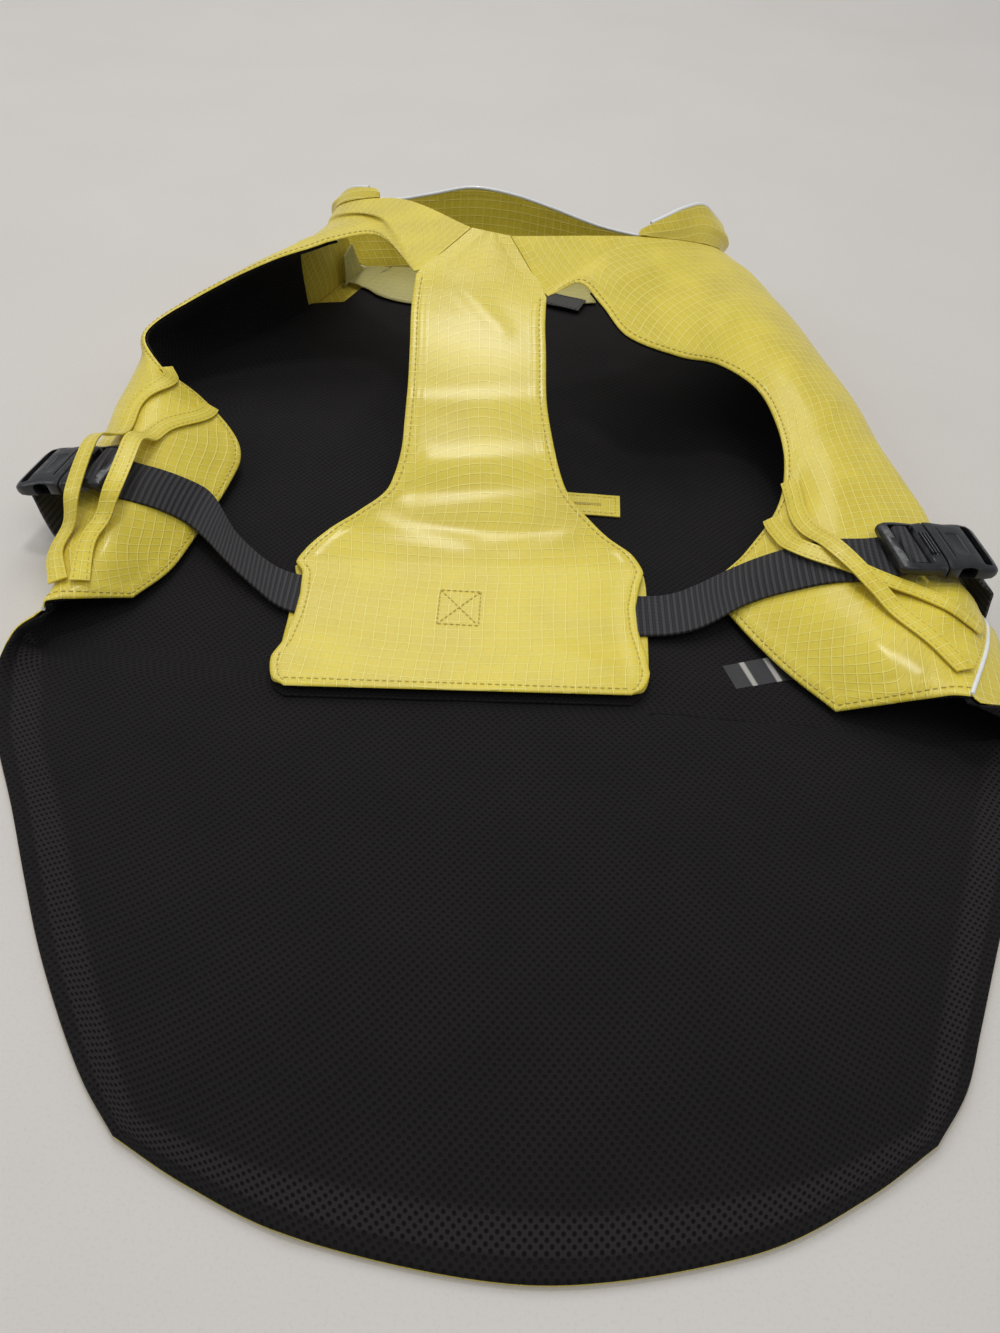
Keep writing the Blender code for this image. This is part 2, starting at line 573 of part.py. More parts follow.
def web_free(rows):
    return [[Vector(r.far).lerp(Vector(r.near), i / 4) for i in range(5)] for r in rows]


def buckle_frame(side):
    """Placement of a buckle, whose local millimetres are scaled to metres."""
    place, turn, tilt = BUCKLE_PLACES[side]
    spin = Matrix.Rotation(math.radians(turn), 4, "Z") @ Matrix.Rotation(math.radians(tilt), 4, "Y")
    return Matrix.Translation((Vector(place) - ORIGIN) * MM) @ spin


def in_buckle(side, x, y, z):
    """A point of a buckle's own frame, in table millimetres."""
    return buckle_frame(side) @ (Vector((x, y, z)) * MM) / MM + ORIGIN


def web_in_buckle(side, far_sign, line):
    """Rows of webbing along a line of a buckle's own frame, the far edge first."""
    half = far_sign * WEB_WIDTH / 2
    return [[in_buckle(side, x, half * (1 - i / 2), z) for i in range(5)] for x, z in line]


def build_webbing():
    left = web_in_buckle("left", -1, WEB_WRAP)[::-1]
    left += web_on_panel(LEFT, WEB_LEFT_LINE, 1)[::-1]
    left += web_free(WEB_FREE_LEFT)
    far, near = WEB_CHANNEL_Y
    middle = web_free([WebRow((x, far, WEB_CHANNEL_Z), (x, near, WEB_CHANNEL_Z))
                       for x in WEB_CHANNEL])
    right = web_free(WEB_FREE_RIGHT)
    right += web_on_panel(RIGHT, WEB_RIGHT_LINE, -1)
    right += web_in_buckle("right", 1, WEB_WRAP)
    cloth("belly_webbing", left + middle + right, WEB_CLOTH, WEBBING, both_ways=True)


def build_anchors():
    """Short webbings that hold the buckles' sockets to the outer shell."""
    slot = sum(SOCKET_SLOT) / 2
    for side, far_sign, feet in (("left", -1, ANCHOR_LEFT), ("right", 1, ANCHOR_RIGHT)):
        rows = web_in_buckle(side, far_sign, ((slot, 1.0), (slot, -5.2)))
        rows += web_free(feet)
        cloth(f"anchor_webbing_{side}", rows, WEB_CLOTH, WEBBING, both_ways=True)


# ------------------------------------------------------------------ buckles
def block(name, size, centre, frame, into):
    """A box in a buckle's frame, linked to a collection."""
    bm = bmesh.new()
    bmesh.ops.create_cube(bm, size=1.0)
    bmesh.ops.scale(bm, vec=Vector(size) * MM, verts=bm.verts)
    bmesh.ops.translate(bm, vec=Vector(centre) * MM, verts=bm.verts)
    mesh = bpy.data.meshes.new(name)
    bm.to_mesh(mesh)
    bm.free()
    obj = bpy.data.objects.new(name, mesh)
    obj.matrix_world = frame
    into.objects.link(obj)
    return obj


def combine(body, other, operation):
    other.hide_render = True
    other.display_type = "WIRE"
    step = body.modifiers.new(other.name, "BOOLEAN")
    step.operation = operation
    step.object = other


def build_slider(side, frame):
    """Adjuster half: a frame with two webbing slots, a guide and two spring prongs."""
    body = block(f"buckle_slider_{side}", (SLIDER_LENGTH, BUCKLE_WIDTH, SLIDER_DEPTH),
                 (-SLIDER_LENGTH / 2 - GAP, 0, 0), frame, PARTS)
    body.data.materials.append(PLASTIC)
    for k in (-1, 0, 1):
        prong = block(f"prong_{side}_{k + 1}", PRONG,
                      (PRONG[0] / 2 - 1.0, k * PRONG_OFFSET, 0), frame, TOOLS)
        combine(body, prong, "UNION")
    start, end, floor = POCKET
    pocket = block(f"pocket_{side}", (end - start, SLOT_WIDTH, SLIDER_DEPTH),
                   ((start + end) / 2, 0, floor + SLIDER_DEPTH / 2), frame, TOOLS)
    combine(body, pocket, "DIFFERENCE")
    for k, (start, end) in enumerate(SLIDER_SLOTS):
        slot = block(f"slider_slot_{side}_{k}", (end - start, SLOT_WIDTH, 4 * SLIDER_DEPTH),
                     ((start + end) / 2, 0, 0), frame, TOOLS)
        combine(body, slot, "DIFFERENCE")
    rim = body.modifiers.new("rim", "BEVEL")
    rim.width = 0.7 * MM
    rim.segments = 1
    rim.limit_method = "ANGLE"


def build_socket(side, frame):
    """Fixed half: a hollow body with side windows and one slot for the anchor webbing."""
    body = block(f"buckle_socket_{side}", (SOCKET_LENGTH, BUCKLE_WIDTH, SOCKET_DEPTH),
                 (SOCKET_LENGTH / 2 + GAP, 0, 0), frame, PARTS)
    body.data.materials.append(PLASTIC)
    cavity = block(f"socket_cavity_{side}", (2 * SOCKET_CAVITY[0], *SOCKET_CAVITY[1:]),
                   (0, 0, 0), frame, TOOLS)
    combine(body, cavity, "DIFFERENCE")
    for k in (-1, 1):
        window = block(f"window_{side}_{k + 1}", (WINDOW[0], 2 * WINDOW[1], SOCKET_CAVITY[2]),
                       (SOCKET_CAVITY[0] - WINDOW[0] / 2 - 1.5, k * BUCKLE_WIDTH / 2, 0),
                       frame, TOOLS)
        combine(body, window, "DIFFERENCE")
    slot = block(f"socket_slot_{side}", (SOCKET_SLOT[1] - SOCKET_SLOT[0], SLOT_WIDTH,
                                         4 * SOCKET_DEPTH), (sum(SOCKET_SLOT) / 2, 0, 0),
                 frame, TOOLS)
    combine(body, slot, "DIFFERENCE")
    rim = body.modifiers.new("rim", "BEVEL")
    rim.width = 1.2 * MM
    rim.segments = 1
    rim.limit_method = "ANGLE"


# ------------------------------------------------------------------ sewn-on patches
def build_patch(name, patch, made_of):
    turn = Matrix.Rotation(math.radians(patch.turn), 4, "Z")
    rows = []
    for j in (-0.5, 0.5):
        line = [turn @ Vector((i * patch.length / 4, j * patch.width, 0)) for i in (-2, -1, 0, 1, 2)]
        rows.append([p + Vector((patch.x, patch.y, patch.base + patch.thickness)) for p in line])
    cloth(name, rows, patch.thickness, made_of)


# ------------------------------------------------------------------ the coat
for old in list(bpy.data.objects):
    bpy.data.objects.remove(old, do_unlink=True)

PARTS = collection("dog_raincoat")
TOOLS = collection("cutters")
RIPSTOP = material("yellow_ripstop", YELLOW, 0.42)
LINING = material("black_spacer_mesh", BLACK_MESH, 0.9)
FACING_CLOTH = material("ripstop_reverse", PALE_FACING, 0.7)
PIPING = material("white_piping", WHITE_PIPING, 0.35)
WEBBING = material("black_webbing", BLACK_WEB, 0.75)
PLASTIC = material("black_plastic", BLACK_PLASTIC, 0.35)
LABEL = material("woven_label", LABEL_GREY, 0.6)

build_panels()
build_facing()
build_chest()
build_collar()
build_seam_piping()
daisy_strip("daisy_left_outer", LEFT, DAISY_LEFT_OUTER, 1)
daisy_strip("daisy_left_inner", LEFT, DAISY_LEFT_INNER, 1)
daisy_strip("daisy_right_over", RIGHT, DAISY_RIGHT_OVER, -1)
daisy_strip("daisy_right_under", RIGHT, DAISY_RIGHT_UNDER, -1)
build_webbing()
build_anchors()
for buckle_side in ("left", "right"):
    build_slider(buckle_side, buckle_frame(buckle_side))
    build_socket(buckle_side, buckle_frame(buckle_side))
build_patch("leash_welt", LEASH_WELT, RIPSTOP)
build_patch("neck_label", NECK_LABEL, WEBBING)
build_patch("size_label", SIZE_LABEL, LABEL)
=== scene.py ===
"""Looks of the dog raincoat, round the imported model: fine cloth, stitching, buckles, light, camera.

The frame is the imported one: metres, +Z up, +Y from the rump hem towards the neck.  The tables
hold millimetres counted from the rump hem, as in the model's own source, and ORIGIN is the
frame's origin in them.  COLLAR_SEAM and the rear ends of DAISY_LEFT_OUTER and DAISY_LEFT_INNER are
the only table values that differ from that source.
"""
from collections import namedtuple
import math

import bmesh
import bpy
from mathutils import Matrix, Vector, noise


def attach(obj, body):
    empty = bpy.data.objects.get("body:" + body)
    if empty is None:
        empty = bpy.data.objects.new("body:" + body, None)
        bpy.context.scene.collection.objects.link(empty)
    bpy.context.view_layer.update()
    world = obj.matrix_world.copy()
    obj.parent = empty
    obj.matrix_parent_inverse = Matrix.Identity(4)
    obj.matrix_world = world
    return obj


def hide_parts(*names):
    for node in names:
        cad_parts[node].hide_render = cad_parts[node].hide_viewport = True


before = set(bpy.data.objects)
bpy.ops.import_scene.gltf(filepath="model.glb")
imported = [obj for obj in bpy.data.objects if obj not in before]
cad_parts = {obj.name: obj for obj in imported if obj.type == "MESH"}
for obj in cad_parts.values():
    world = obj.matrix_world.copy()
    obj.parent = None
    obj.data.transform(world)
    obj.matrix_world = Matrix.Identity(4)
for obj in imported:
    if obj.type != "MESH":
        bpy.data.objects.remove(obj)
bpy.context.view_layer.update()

MM = 0.001
ORIGIN = Vector((-4.0, 302.55, 0.0))    # middle of the coat's outline, in table millimetres

# ---- cloth thicknesses and clearances, mm
SHELL = 1.0             # coated ripstop with its seam tape
MESH = 1.2              # spacer-mesh lining
GAP = 0.3               # between pieces that touch
LINING_DROP = SHELL + 2 * GAP
INSIDE = LINING_DROP + MESH     # from the shell's outer face to the lining's inner face
THROAT_INSET = 0.7      # chest panel back from the throat seams
COLLAR_CLOTH = 1.6      # two layers of ripstop
STRIP_CLOTH = 1.0       # folded ripstop of the daisy strips
STRIP_WIDTH = 8.0
WEB_CLOTH = 1.4
WEB_WIDTH = 25.0

# ---- the side panels: one row for each section round the girth, hem first, neck last
Section = namedtuple("Section", "edge crown out under seam")

LEFT = [
    Section((-157, 256, 8.5), (-174, 244, 17), (-182, 240, 20), (-186, 238, 20.5), (-187.5, 236, 17)),
    Section((-147, 276, 7), (-171, 266, 25), (-192, 268, 18), (-191, 269, 7), (-187, 270, 3)),
    Section((-142, 297, 7), (-169, 284, 29), (-194, 290, 19), (-188, 292, 1), (-172, 293, 0)),
    Section((-138, 318, 8), (-170, 307, 32), (-197, 317, 20), (-187, 318, 0), (-160, 318, 0)),
    Section((-134, 341, 9), (-173, 327, 33), (-198, 339, 20), (-187, 340, 0), (-156, 340, 0)),
    Section((-132, 360, 12), (-174, 347, 34), (-197, 360, 20), (-187, 361, 0), (-152, 362, 0)),
    Section((-139, 376, 16), (-175, 364, 35), (-198, 383, 21), (-187, 384, 0), (-148, 384, 0)),
    Section((-158, 395, 23), (-176, 384, 36), (-196, 406, 24), (-185, 407, 0), (-144, 406, 0)),
    Section((-180, 406, 34), (-186, 407, 35), (-195, 423, 27), (-184, 424, 0), (-139, 424, 0)),
    Section((-192, 427, 40), (-195, 432, 36), (-198, 441, 26), (-184, 446, 0), (-134, 446, 0)),
    Section((-171, 453, 48), (-177, 458, 43), (-186, 466, 26), (-174, 472, 0), (-128, 472, 0)),
    Section((-144, 470, 57), (-153, 476, 52), (-166, 486, 30), (-156, 496, 0), (-121, 498, 0)),
    Section((-119, 480, 64), (-127, 492, 60), (-143, 508, 36), (-138, 524, 0), (-114, 530, 0)),
    Section((-80, 484, 73), (-88, 508, 71.5), (-118, 536, 49), (-122, 556, 0), (-102, 562, 0)),
    Section((-52, 434, 76), (-72, 489, 77.5), (-113, 544, 54), (-113, 572, 4), (-93, 582, 0)),
    Section((-27, 466, 87), (-66, 515, 80), (-110, 551, 57), (-104, 585, 10), (-84, 597, 0)),
]
RIGHT = [
    Section((134, 212, 7), (158, 207, 20), (166, 205, 25), (172, 204, 28), (178, 202, 30)),
    Section((116, 235, 7), (151, 233, 27), (172, 236, 30), (186, 238, 28), (197, 240, 23)),
    Section((100, 263, 7), (149, 262, 29), (186, 265, 29), (200, 267, 21.5), (204, 268, 14)),
    Section((92, 284, 8), (148, 286, 31), (198, 291, 20), (200.5, 294, 6), (192.5, 296, 0)),
    Section((108, 305, 12), (149, 306, 33), (195, 321, 20), (190, 322, 0), (182, 322, 0)),
    Section((124, 328, 22), (151, 336, 36), (188, 350, 23), (180, 351, 0), (172, 350, 0)),
    Section((129, 353, 31), (151, 365, 39), (181, 378, 25), (171, 380, 0), (163, 378, 0)),
    Section((127, 379, 37), (145, 391, 44), (175, 412, 28), (164, 414, 0), (154, 412, 0)),
    Section((119, 399, 43), (136, 418, 49), (164, 445, 32), (153, 448, 0), (144, 445, 0)),
    Section((101, 409, 49), (123, 439, 54), (153, 479, 36), (141, 484, 0), (132, 480, 0)),
    Section((80, 404, 55), (105, 457, 60), (140, 511, 40), (130, 520, 0), (120, 518, 0)),
    Section((54, 406, 63), (88, 472, 65), (131, 525, 44), (122, 542, 0), (110, 545, 0)),
    Section((41, 423, 70), (70, 474, 71), (126, 529, 46), (118, 556, 0), (102, 564, 0)),
    Section((29, 436, 75), (58, 477, 74.5), (122.5, 533, 47), (113, 566, 2), (95, 577, 0)),
    Section((13, 424, 72), (54, 482, 76.5), (119, 537, 48), (109, 573, 6), (89, 588, 0)),
    Section((-6, 458, 87), (58, 491, 76.5), (115, 541, 49), (105, 583, 10), (84, 597, 0)),
]
THROAT = len(LEFT) - 2          # the section whose edge is the lower end of the throat seam
NECK = len(LEFT) - 1            # the section that is the neck edge

# ---- the back panel behind the side seams: flat rows, then rows whose ends curl up
FlatRow = namedtuple("FlatRow", "mid_y left_x left_y right_x right_y")
RUMP_FLAT = [
    FlatRow(-1, -103, 32, 135, 42),
    FlatRow(20, -116, 47, 148, 59),
    FlatRow(46, -129, 66, 158, 80),
    FlatRow(78, -144, 91, 169, 104),
    FlatRow(112, -158, 118, 181, 130),
    FlatRow(146, -173, 148, 193, 157),
    FlatRow(176, -190, 180, 202, 180),
]
HEM_ROUNDING = 2.1              # power of the curve that a flat row follows
FLAT_REACH = (1.0, 0.8, 0.5)    # where a flat row's points lie, from its end to its middle

CurledRow = namedtuple("CurledRow", "left left_out left_bend mid right_bend right_out right")
RUMP_CURLED = [
    CurledRow((-197, 200, 1), (-185, 201, 0), (-120, 201, 0), (2, 194, 0),
              (130, 193, 0), (196, 192, 1), (207, 191, 4)),
    CurledRow((-201, 215, 5), (-192, 216, 1), (-150, 214, 0), (2, 203, 0),
              (150, 200, 0), (203, 198, 5), (208, 198, 13)),
    CurledRow((-197, 227, 13), (-198, 227, 6), (-187, 227, 0), (2, 212, 0),
              (190, 203, 0), (208, 202, 12), (198, 202, 24)),
]
SEAM_CURLS = {      # sections whose seam stands off the surface: (bend, out) on that side
    "left": {0: ((-186, 236, 0), (-193, 236, 9)), 1: ((-177, 270, 0), (-185.5, 270, 0.5))},
    "right": {0: ((198, 204, 0), (208, 204, 14)), 1: ((200, 241, 0), (208, 241, 12)),
              2: ((200, 269, 0), (207, 269, 8))},
}

# ---- the chest panel: throat first, bottom hem last; *_tuck is how far the upper layer's
# edge lies inside the lower layers' at the strap channel, *_drop how far those lie below it
ChestRow = namedtuple("ChestRow", "left right left_tuck right_tuck facing_drop lining_drop")
CHEST = [
    ChestRow((-27, 466, 87), (-6, 458, 87), 0, 0, 1.3, 1.3),
    ChestRow((-39.5, 450, 81.5), (3.5, 441, 79.5), 0, 0, 1.3, 1.3),
    ChestRow((-52, 434, 76), (13, 424, 72), 0, 0, 1.3, 1.3),
    ChestRow((-53, 416, 68), (13, 411, 66), 0, 0, 1.3, 1.3),
    ChestRow((-52, 395, 58), (14, 394, 58), 0, 0, 1.3, 1.3),
    ChestRow((-51, 370, 47), (15, 372, 48), 0, 0, 1.3, 1.3),
    ChestRow((-51, 347, 36), (19, 350, 37), 0, 0, 1.3, 1.3),
    ChestRow((-55, 325, 25), (26, 327, 26), 0, 0, 1.3, 1.3),
    ChestRow((-68, 312, 19), (38, 313, 19), 0, 0, 1.3, 1.3),
    ChestRow((-80, 303, 15), (46, 306, 15.5), 0, 0, 1.3, 1.3),
    ChestRow((-89, 292, 12), (57, 298, 12.5), 0, 0, 1.3, 2.6),
    ChestRow((-93, 284, 10), (62, 289, 10.3), 0.5, 0.5, 2.2, 3.8),
    ChestRow((-92, 278.5, 9.2), (63, 281, 9.4), 3.0, 3.5, 3.9, 5.2),
    ChestRow((-91.5, 264, 8.6), (62.5, 266, 8.7), 4.0, 5.5, 3.1, 4.5),
    ChestRow((-91, 250, 8.4), (62, 252, 8.4), 3.0, 4.5, 3.0, 4.3),
    ChestRow((-91, 236, 8.4), (61.5, 238, 8.4), 1.2, 1.5, 3.0, 4.3),
    ChestRow((-93, 225, 8.4), (61, 227, 8.4), 0, 0, 3.0, 4.3),
    ChestRow((-91, 214, 8.4), (58, 218, 8.4), 0, 0, 3.0, 4.3),
    ChestRow((-85, 209, 8.4), (53, 214, 8.4), 0, 0, 3.0, 4.3),
]
STRAP_FOOT = 9                  # row where the strap has widened into the chest panel
CHEST_BLACK_REACH = 1.5         # lining beyond the chest panel's bottom hem

# ---- the collar: r counts round the neck, 0 left throat, 4..5 nape, 9 right throat
CollarRow = namedtuple("CollarRow", "r middle tip")
COLLAR = [
    CollarRow(1.30, (-82, 530, 77.5), (-83.5, 534, 77.5)),
    CollarRow(1.55, (-94, 541, 73), (-95.5, 546, 73)),
    CollarRow(1.80, (-104.5, 550, 66), (-104, 555, 67)),
    CollarRow(2.10, (-113, 558, 57), (-111, 562, 58)),
    CollarRow(2.60, (-114, 577, 37), (-115, 580, 48)),
    CollarRow(3.10, (-107, 593, 26), (-108, 597, 44)),
    CollarRow(3.60, (-95, 600, 24), (-95, 604, 43)),
    CollarRow(4.00, (-82, 602, 24), (-80, 605, 43)),
    CollarRow(4.15, (-59, 603, 25), (-57, 605, 48)),
    CollarRow(4.30, (-34, 604, 27), (-33, 605, 53)),
    CollarRow(4.45, (-9, 604, 26), (-8, 605, 50)),
    CollarRow(4.60, (17, 604, 22), (17, 605, 43)),
    CollarRow(4.80, (50, 603, 17), (50, 604, 33)),
    CollarRow(5.00, (83, 601, 15), (83, 603, 28)),
    CollarRow(5.40, (98, 599, 17), (102, 602, 28)),
    CollarRow(5.90, (110, 590, 24), (114, 593, 36)),
    CollarRow(6.40, (119, 573, 34), (118, 576, 46)),
    CollarRow(6.80, (121, 553, 48), (117, 558, 56)),
    CollarRow(7.10, (114, 540, 61), (110, 549, 66)),
    CollarRow(7.40, (101, 529, 69), (100, 537, 76.5)),
    CollarRow(7.60, (87, 515, 72), (88, 523, 79.5)),
    CollarRow(7.80, (74, 504, 74), (75, 510, 78.5)),
    CollarRow(7.95, (62, 496, 75.5), (63, 499, 77)),
]
COLLAR_SEAM = 0.8               # from the neck edge to the collar's lower edge

# ---- the neck facing: how far rearwards from the neck edge (in sections) it reaches at r
FacingRow = namedtuple("FacingRow", "r depth")
FACING = [
    FacingRow(2.50, 0.9), FacingRow(3.00, 1.1), FacingRow(4.00, 1.8), FacingRow(4.167, 2.3),
    FacingRow(4.333, 2.7), FacingRow(4.50, 2.8), FacingRow(4.667, 2.7),
]
FACING_DROP = INSIDE + 1.2

# ---- webbing and daisy strips that lie on a side panel: where along it (section, crossing)
# and how far off its face; crossing 0 edge, 1 crown, 2 out, 4 seam
OnPanel = namedtuple("OnPanel", "section crossing lift")
DAISY_LEFT_OUTER = [
    OnPanel(7.8, 0.10, 0.8), OnPanel(7.0, 0.85, 0.8), OnPanel(6.2, 1.18, 0.8),
    OnPanel(5.3, 1.20, 0.8), OnPanel(4.5, 1.20, 0.8), OnPanel(4.15, 1.26, 8.0),
    OnPanel(3.8, 1.32, 12.6), OnPanel(3.0, 1.36, 13.4), OnPanel(2.25, 1.40, 12.8),
    OnPanel(1.95, 1.46, 9.0), OnPanel(1.6, 1.55, 1.6), OnPanel(1.1, 1.70, 1.6),
    OnPanel(0.3, 1.75, 1.4),
]
DAISY_LEFT_INNER = [
    OnPanel(6.6, 0.10, 0.8), OnPanel(5.9, 0.50, 0.8), OnPanel(5.2, 0.75, 0.8),
    OnPanel(4.6, 0.82, 0.8), OnPanel(4.15, 0.90, 7.5), OnPanel(3.8, 0.94, 11.6),
    OnPanel(3.0, 0.97, 12.2), OnPanel(2.3, 0.99, 11.6), OnPanel(2.05, 1.03, 7.5),
    OnPanel(1.75, 1.10, 1.6), OnPanel(1.3, 1.20, 1.7), OnPanel(0.8, 1.20, 1.7),
    OnPanel(0.3, 1.15, 1.5),
]
DAISY_RIGHT_OVER = [
    OnPanel(5.40, 0.14, 1.0), OnPanel(4.6, 0.42, 0.9), OnPanel(3.65, 0.72, 0.7),
    OnPanel(3.1, 0.83, 4.6), OnPanel(2.6, 0.90, 6.4), OnPanel(2.0, 1.02, 5.6),
    OnPanel(1.5, 1.28, 0.7), OnPanel(1.0, 1.75, 0.8), OnPanel(0.6, 2.50, 0.8),
    OnPanel(0.35, 3.30, 0.8),
]
DAISY_RIGHT_UNDER = [
    OnPanel(4.60, 0.10, 1.8), OnPanel(4.1, 0.36, 2.0), OnPanel(3.6, 0.50, 1.8),
    OnPanel(3.25, 0.60, 3.4), OnPanel(2.5, 0.86, 3.1), OnPanel(2.1, 1.20, 3.4),
    OnPanel(1.9, 1.52, 0.7), OnPanel(1.6, 1.95, 0.8), OnPanel(1.4, 2.50, 0.8),
    OnPanel(1.15, 3.50, 0.8),
]

# webbing: free rows give both edges, rows on a panel give the middle line
WebRow = namedtuple("WebRow", "far near")
WEB_FREE_LEFT = [
    WebRow((-126, 304, 10.4), (-122, 279, 10.4)), WebRow((-116, 295, 8.4), (-111, 270.5, 8.4)),
    WebRow((-105, 285, 7.0), (-101, 261, 7.0)), WebRow((-92, 277, 6.4), (-90, 252.5, 6.4)),
]
WEB_FREE_RIGHT = [
    WebRow((62, 276, 6.4), (62, 251, 6.4)), WebRow((72, 277, 7.2), (74, 252.5, 7.2)),
    WebRow((83, 280, 10.0), (87, 255.5, 9.2)),
]
WEB_CHANNEL = (-60, -30, 0, 30)         # x of the webbing's rows inside the chest panel
WEB_CHANNEL_Z = 6.4
WEB_CHANNEL_Y = (276.0, 251.0)          # far and near edge there
WEB_LIFT = 1.3                          # from a panel's face to the webbing's middle
WEB_LEFT_LINE = [(3.0, 0.10), (3.03, 0.3), (3.03, 0.5), (3.0, 0.7), (2.96, 0.9)]
WEB_RIGHT_LINE = [(2.85, 0.12), (2.85, 0.3), (2.8, 0.5), (2.76, 0.7), (2.73, 0.9), (2.7, 1.08)]
WEB_HALF_SECTIONS = 0.56                # half the webbing's width, in sections

ANCHOR_LEFT = [
    WebRow((-205, 325, 13), (-208, 300, 13)), WebRow((-200, 322, 4.5), (-203, 297, 4.5)),
    WebRow((-190.5, 319, 1.2), (-192.5, 294, 1.2)),
]
ANCHOR_RIGHT = [
    WebRow((205.5, 300, 18), (210.5, 276, 18)), WebRow((203, 298, 8), (210.5, 274, 8)),
    WebRow((199.5, 297.5, 2.5), (207.5, 273, 2.0)),
]

# ---- side-release buckles, in their own frame: +X from the adjuster to the anchor, +Z outer face
BUCKLE_WIDTH = 33.0
SLIDER_DEPTH = 6.0
SLIDER_SLOTS = ((-17.5, -13.0), (-9.5, -5.5))   # openings for the webbing, along X
SLOT_WIDTH = 26.6
POCKET = (-17.5, -5.5, 0.6)     # sunk window round the middle bar: from, to, floor height
WEB_WRAP = (                    # the webbing's middle line through the slider: x, z
    (-18.1, -4.4), (-15.8, -3.6), (-15.0, -0.9), (-14.5, 0.9), (-13.2, 1.9), (-9.3, 1.9),
    (-7.9, 0.6), (-7.4, -2.4),
)
SOCKET_DEPTH = 8.4
SOCKET_CAVITY = (15.0, 25.0, 5.2)
SOCKET_SLOT = (17.3, 21.3)
PRONG = (14.5, 3.6, 4.2)
PRONG_OFFSET = 9.6
WINDOW = (8.0, 7.0)             # side openings for the prong tips: along X, deep in Y
BUCKLE_PLACES = {       # middle of the joint line, turn about Z, then tilt about Y (degrees)
    "left": ((-192.1, 311.3, 33.5), 168.0, 15.0),
    "right": ((182.0, 285.3, 34.2), 10.0, 7.0),
}

# ---- small pieces sewn on the lining: centre x and y, size along and across, turn, height
Patch = namedtuple("Patch", "x y length width turn base thickness")
LEASH_WELT = Patch(14, 348, 80, 17, -1.5, INSIDE + GAP, 1.0)
NECK_LABEL = Patch(17, 561, 46, 15, -20, FACING_DROP + SHELL + GAP, 0.8)
SIZE_LABEL = Patch(108, 236, 28, 14, 18, INSIDE + GAP, 0.7)


# ------------------------------------------------------------------ curves through rows
def slopes_monotone(values):
    """Slopes that keep a curve through the values from overshooting them."""
    steps = [b - a for a, b in zip(values, values[1:])]
    inner = [0.0 if a * b <= 0 else 2 * a * b / (a + b) for a, b in zip(steps, steps[1:])]
    return [steps[0], *inner, steps[-1]]


def slopes_smooth(values):
    """Slopes of a smooth curve through the values."""
    inner = [(b - a) / 2 for a, b in zip(values, values[2:])]
    return [values[1] - values[0], *inner, values[-1] - values[-2]]


def hermite(values, slopes, t):
    i = min(max(int(math.floor(t)), 0), len(values) - 2)
    u = t - i
    a, b, da, db = values[i], values[i + 1], slopes[i], slopes[i + 1]
    return (a * (1 + 2 * u) * (1 - u) ** 2 + da * u * (1 - u) ** 2
            + b * u * u * (3 - 2 * u) + db * u * u * (u - 1))


def through(points, t, slopes):
    """The point at t on a curve through 3-D points at 0, 1, 2, ..."""
    axes = list(zip(*points))
    return Vector([hermite(axis, slopes(axis), t) for axis in axes])


def above_ground(point):
    return Vector((point.x, point.y, max(point.z, 0.0)))


def side_point(sections, s, c):
    """A side panel's outer face at section s, crossing c."""
    if s >= THROAT:
        low, high = (through(sections[i], c, slopes_monotone) for i in (THROAT, NECK))
        return above_ground(low.lerp(high, s - THROAT))
    first = max(int(math.floor(s)) - 1, 0)
    near = [through(row, c, slopes_monotone) for row in sections[first:min(first + 4, THROAT + 1)]]
    return above_ground(through(near, s - first, slopes_smooth))


def flat_row(row):
    """Seven points along a flat row, whose ends lie further from the hem than its middle."""
    mid_x = (row.left_x + row.right_x) / 2
    sides = ((row.left_x, row.left_y), (row.right_x, row.right_y))
    left, right = (
        [(mid_x + (x - mid_x) * f, row.mid_y + (y - row.mid_y) * f ** HEM_ROUNDING, 0.0)
         for f in FLAT_REACH] for x, y in sides)
    return [*left, (mid_x, row.mid_y, 0.0), *reversed(right)]


def seam_row(s):
    """Seven points across the back panel from the left seam to the right one."""
    left, right = LEFT[s].seam, RIGHT[s].seam
    mid = tuple((a + b) / 2 for a, b in zip(left[:2], right[:2])) + (0.0,)
    sides = []
    for end, curls in ((left, SEAM_CURLS["left"]), (right, SEAM_CURLS["right"])):
        if s in curls:
            bend, out = curls[s]
        else:
            out, bend = (tuple(m + (e - m) * f for m, e in zip(mid, end)) for f in (0.8, 0.5))
        sides.append([end, out, bend])
    return [*sides[0], mid, *reversed(sides[1])]


BACK = [flat_row(row) for row in RUMP_FLAT] + [list(row) for row in RUMP_CURLED]
RUMP_ROWS = len(BACK)
BACK += [seam_row(s) for s in range(NECK + 1)]


def back_point(b, t):
    """The back panel's outer face at row b, crossing t from 0 (left) to 6 (right)."""
    first = max(int(math.floor(b)) - 1, 0)
    near = [through(row, t, slopes_monotone) for row in BACK[first:first + 4]]
    return above_ground(through(near, b - first, slopes_smooth))


def neck_point(s, r):
    """A point at section s; r runs round the girth, 0 left edge, 4..5 back, 9 right edge."""
    if r <= 4:
        return side_point(LEFT, s, r)
    if r >= 5:
        return side_point(RIGHT, s, 9 - r)
    return back_point(RUMP_ROWS + s, 6 * (r - 4))


def toward(point, other, distance):
    return point + (other - point).normalized() * distance


def panel_normal(sections, s, c, outward):
    step = 0.05
    a = side_point(sections, s + step, c) - side_point(sections, s - step, c)
    b = side_point(sections, s, c + step) - side_point(sections, s, max(c - step, 0))
    return a.cross(b).normalized() * outward


def on_panel(sections, s, c, lift, outward):
    return side_point(sections, s, c) + panel_normal(sections, s, c, outward) * lift


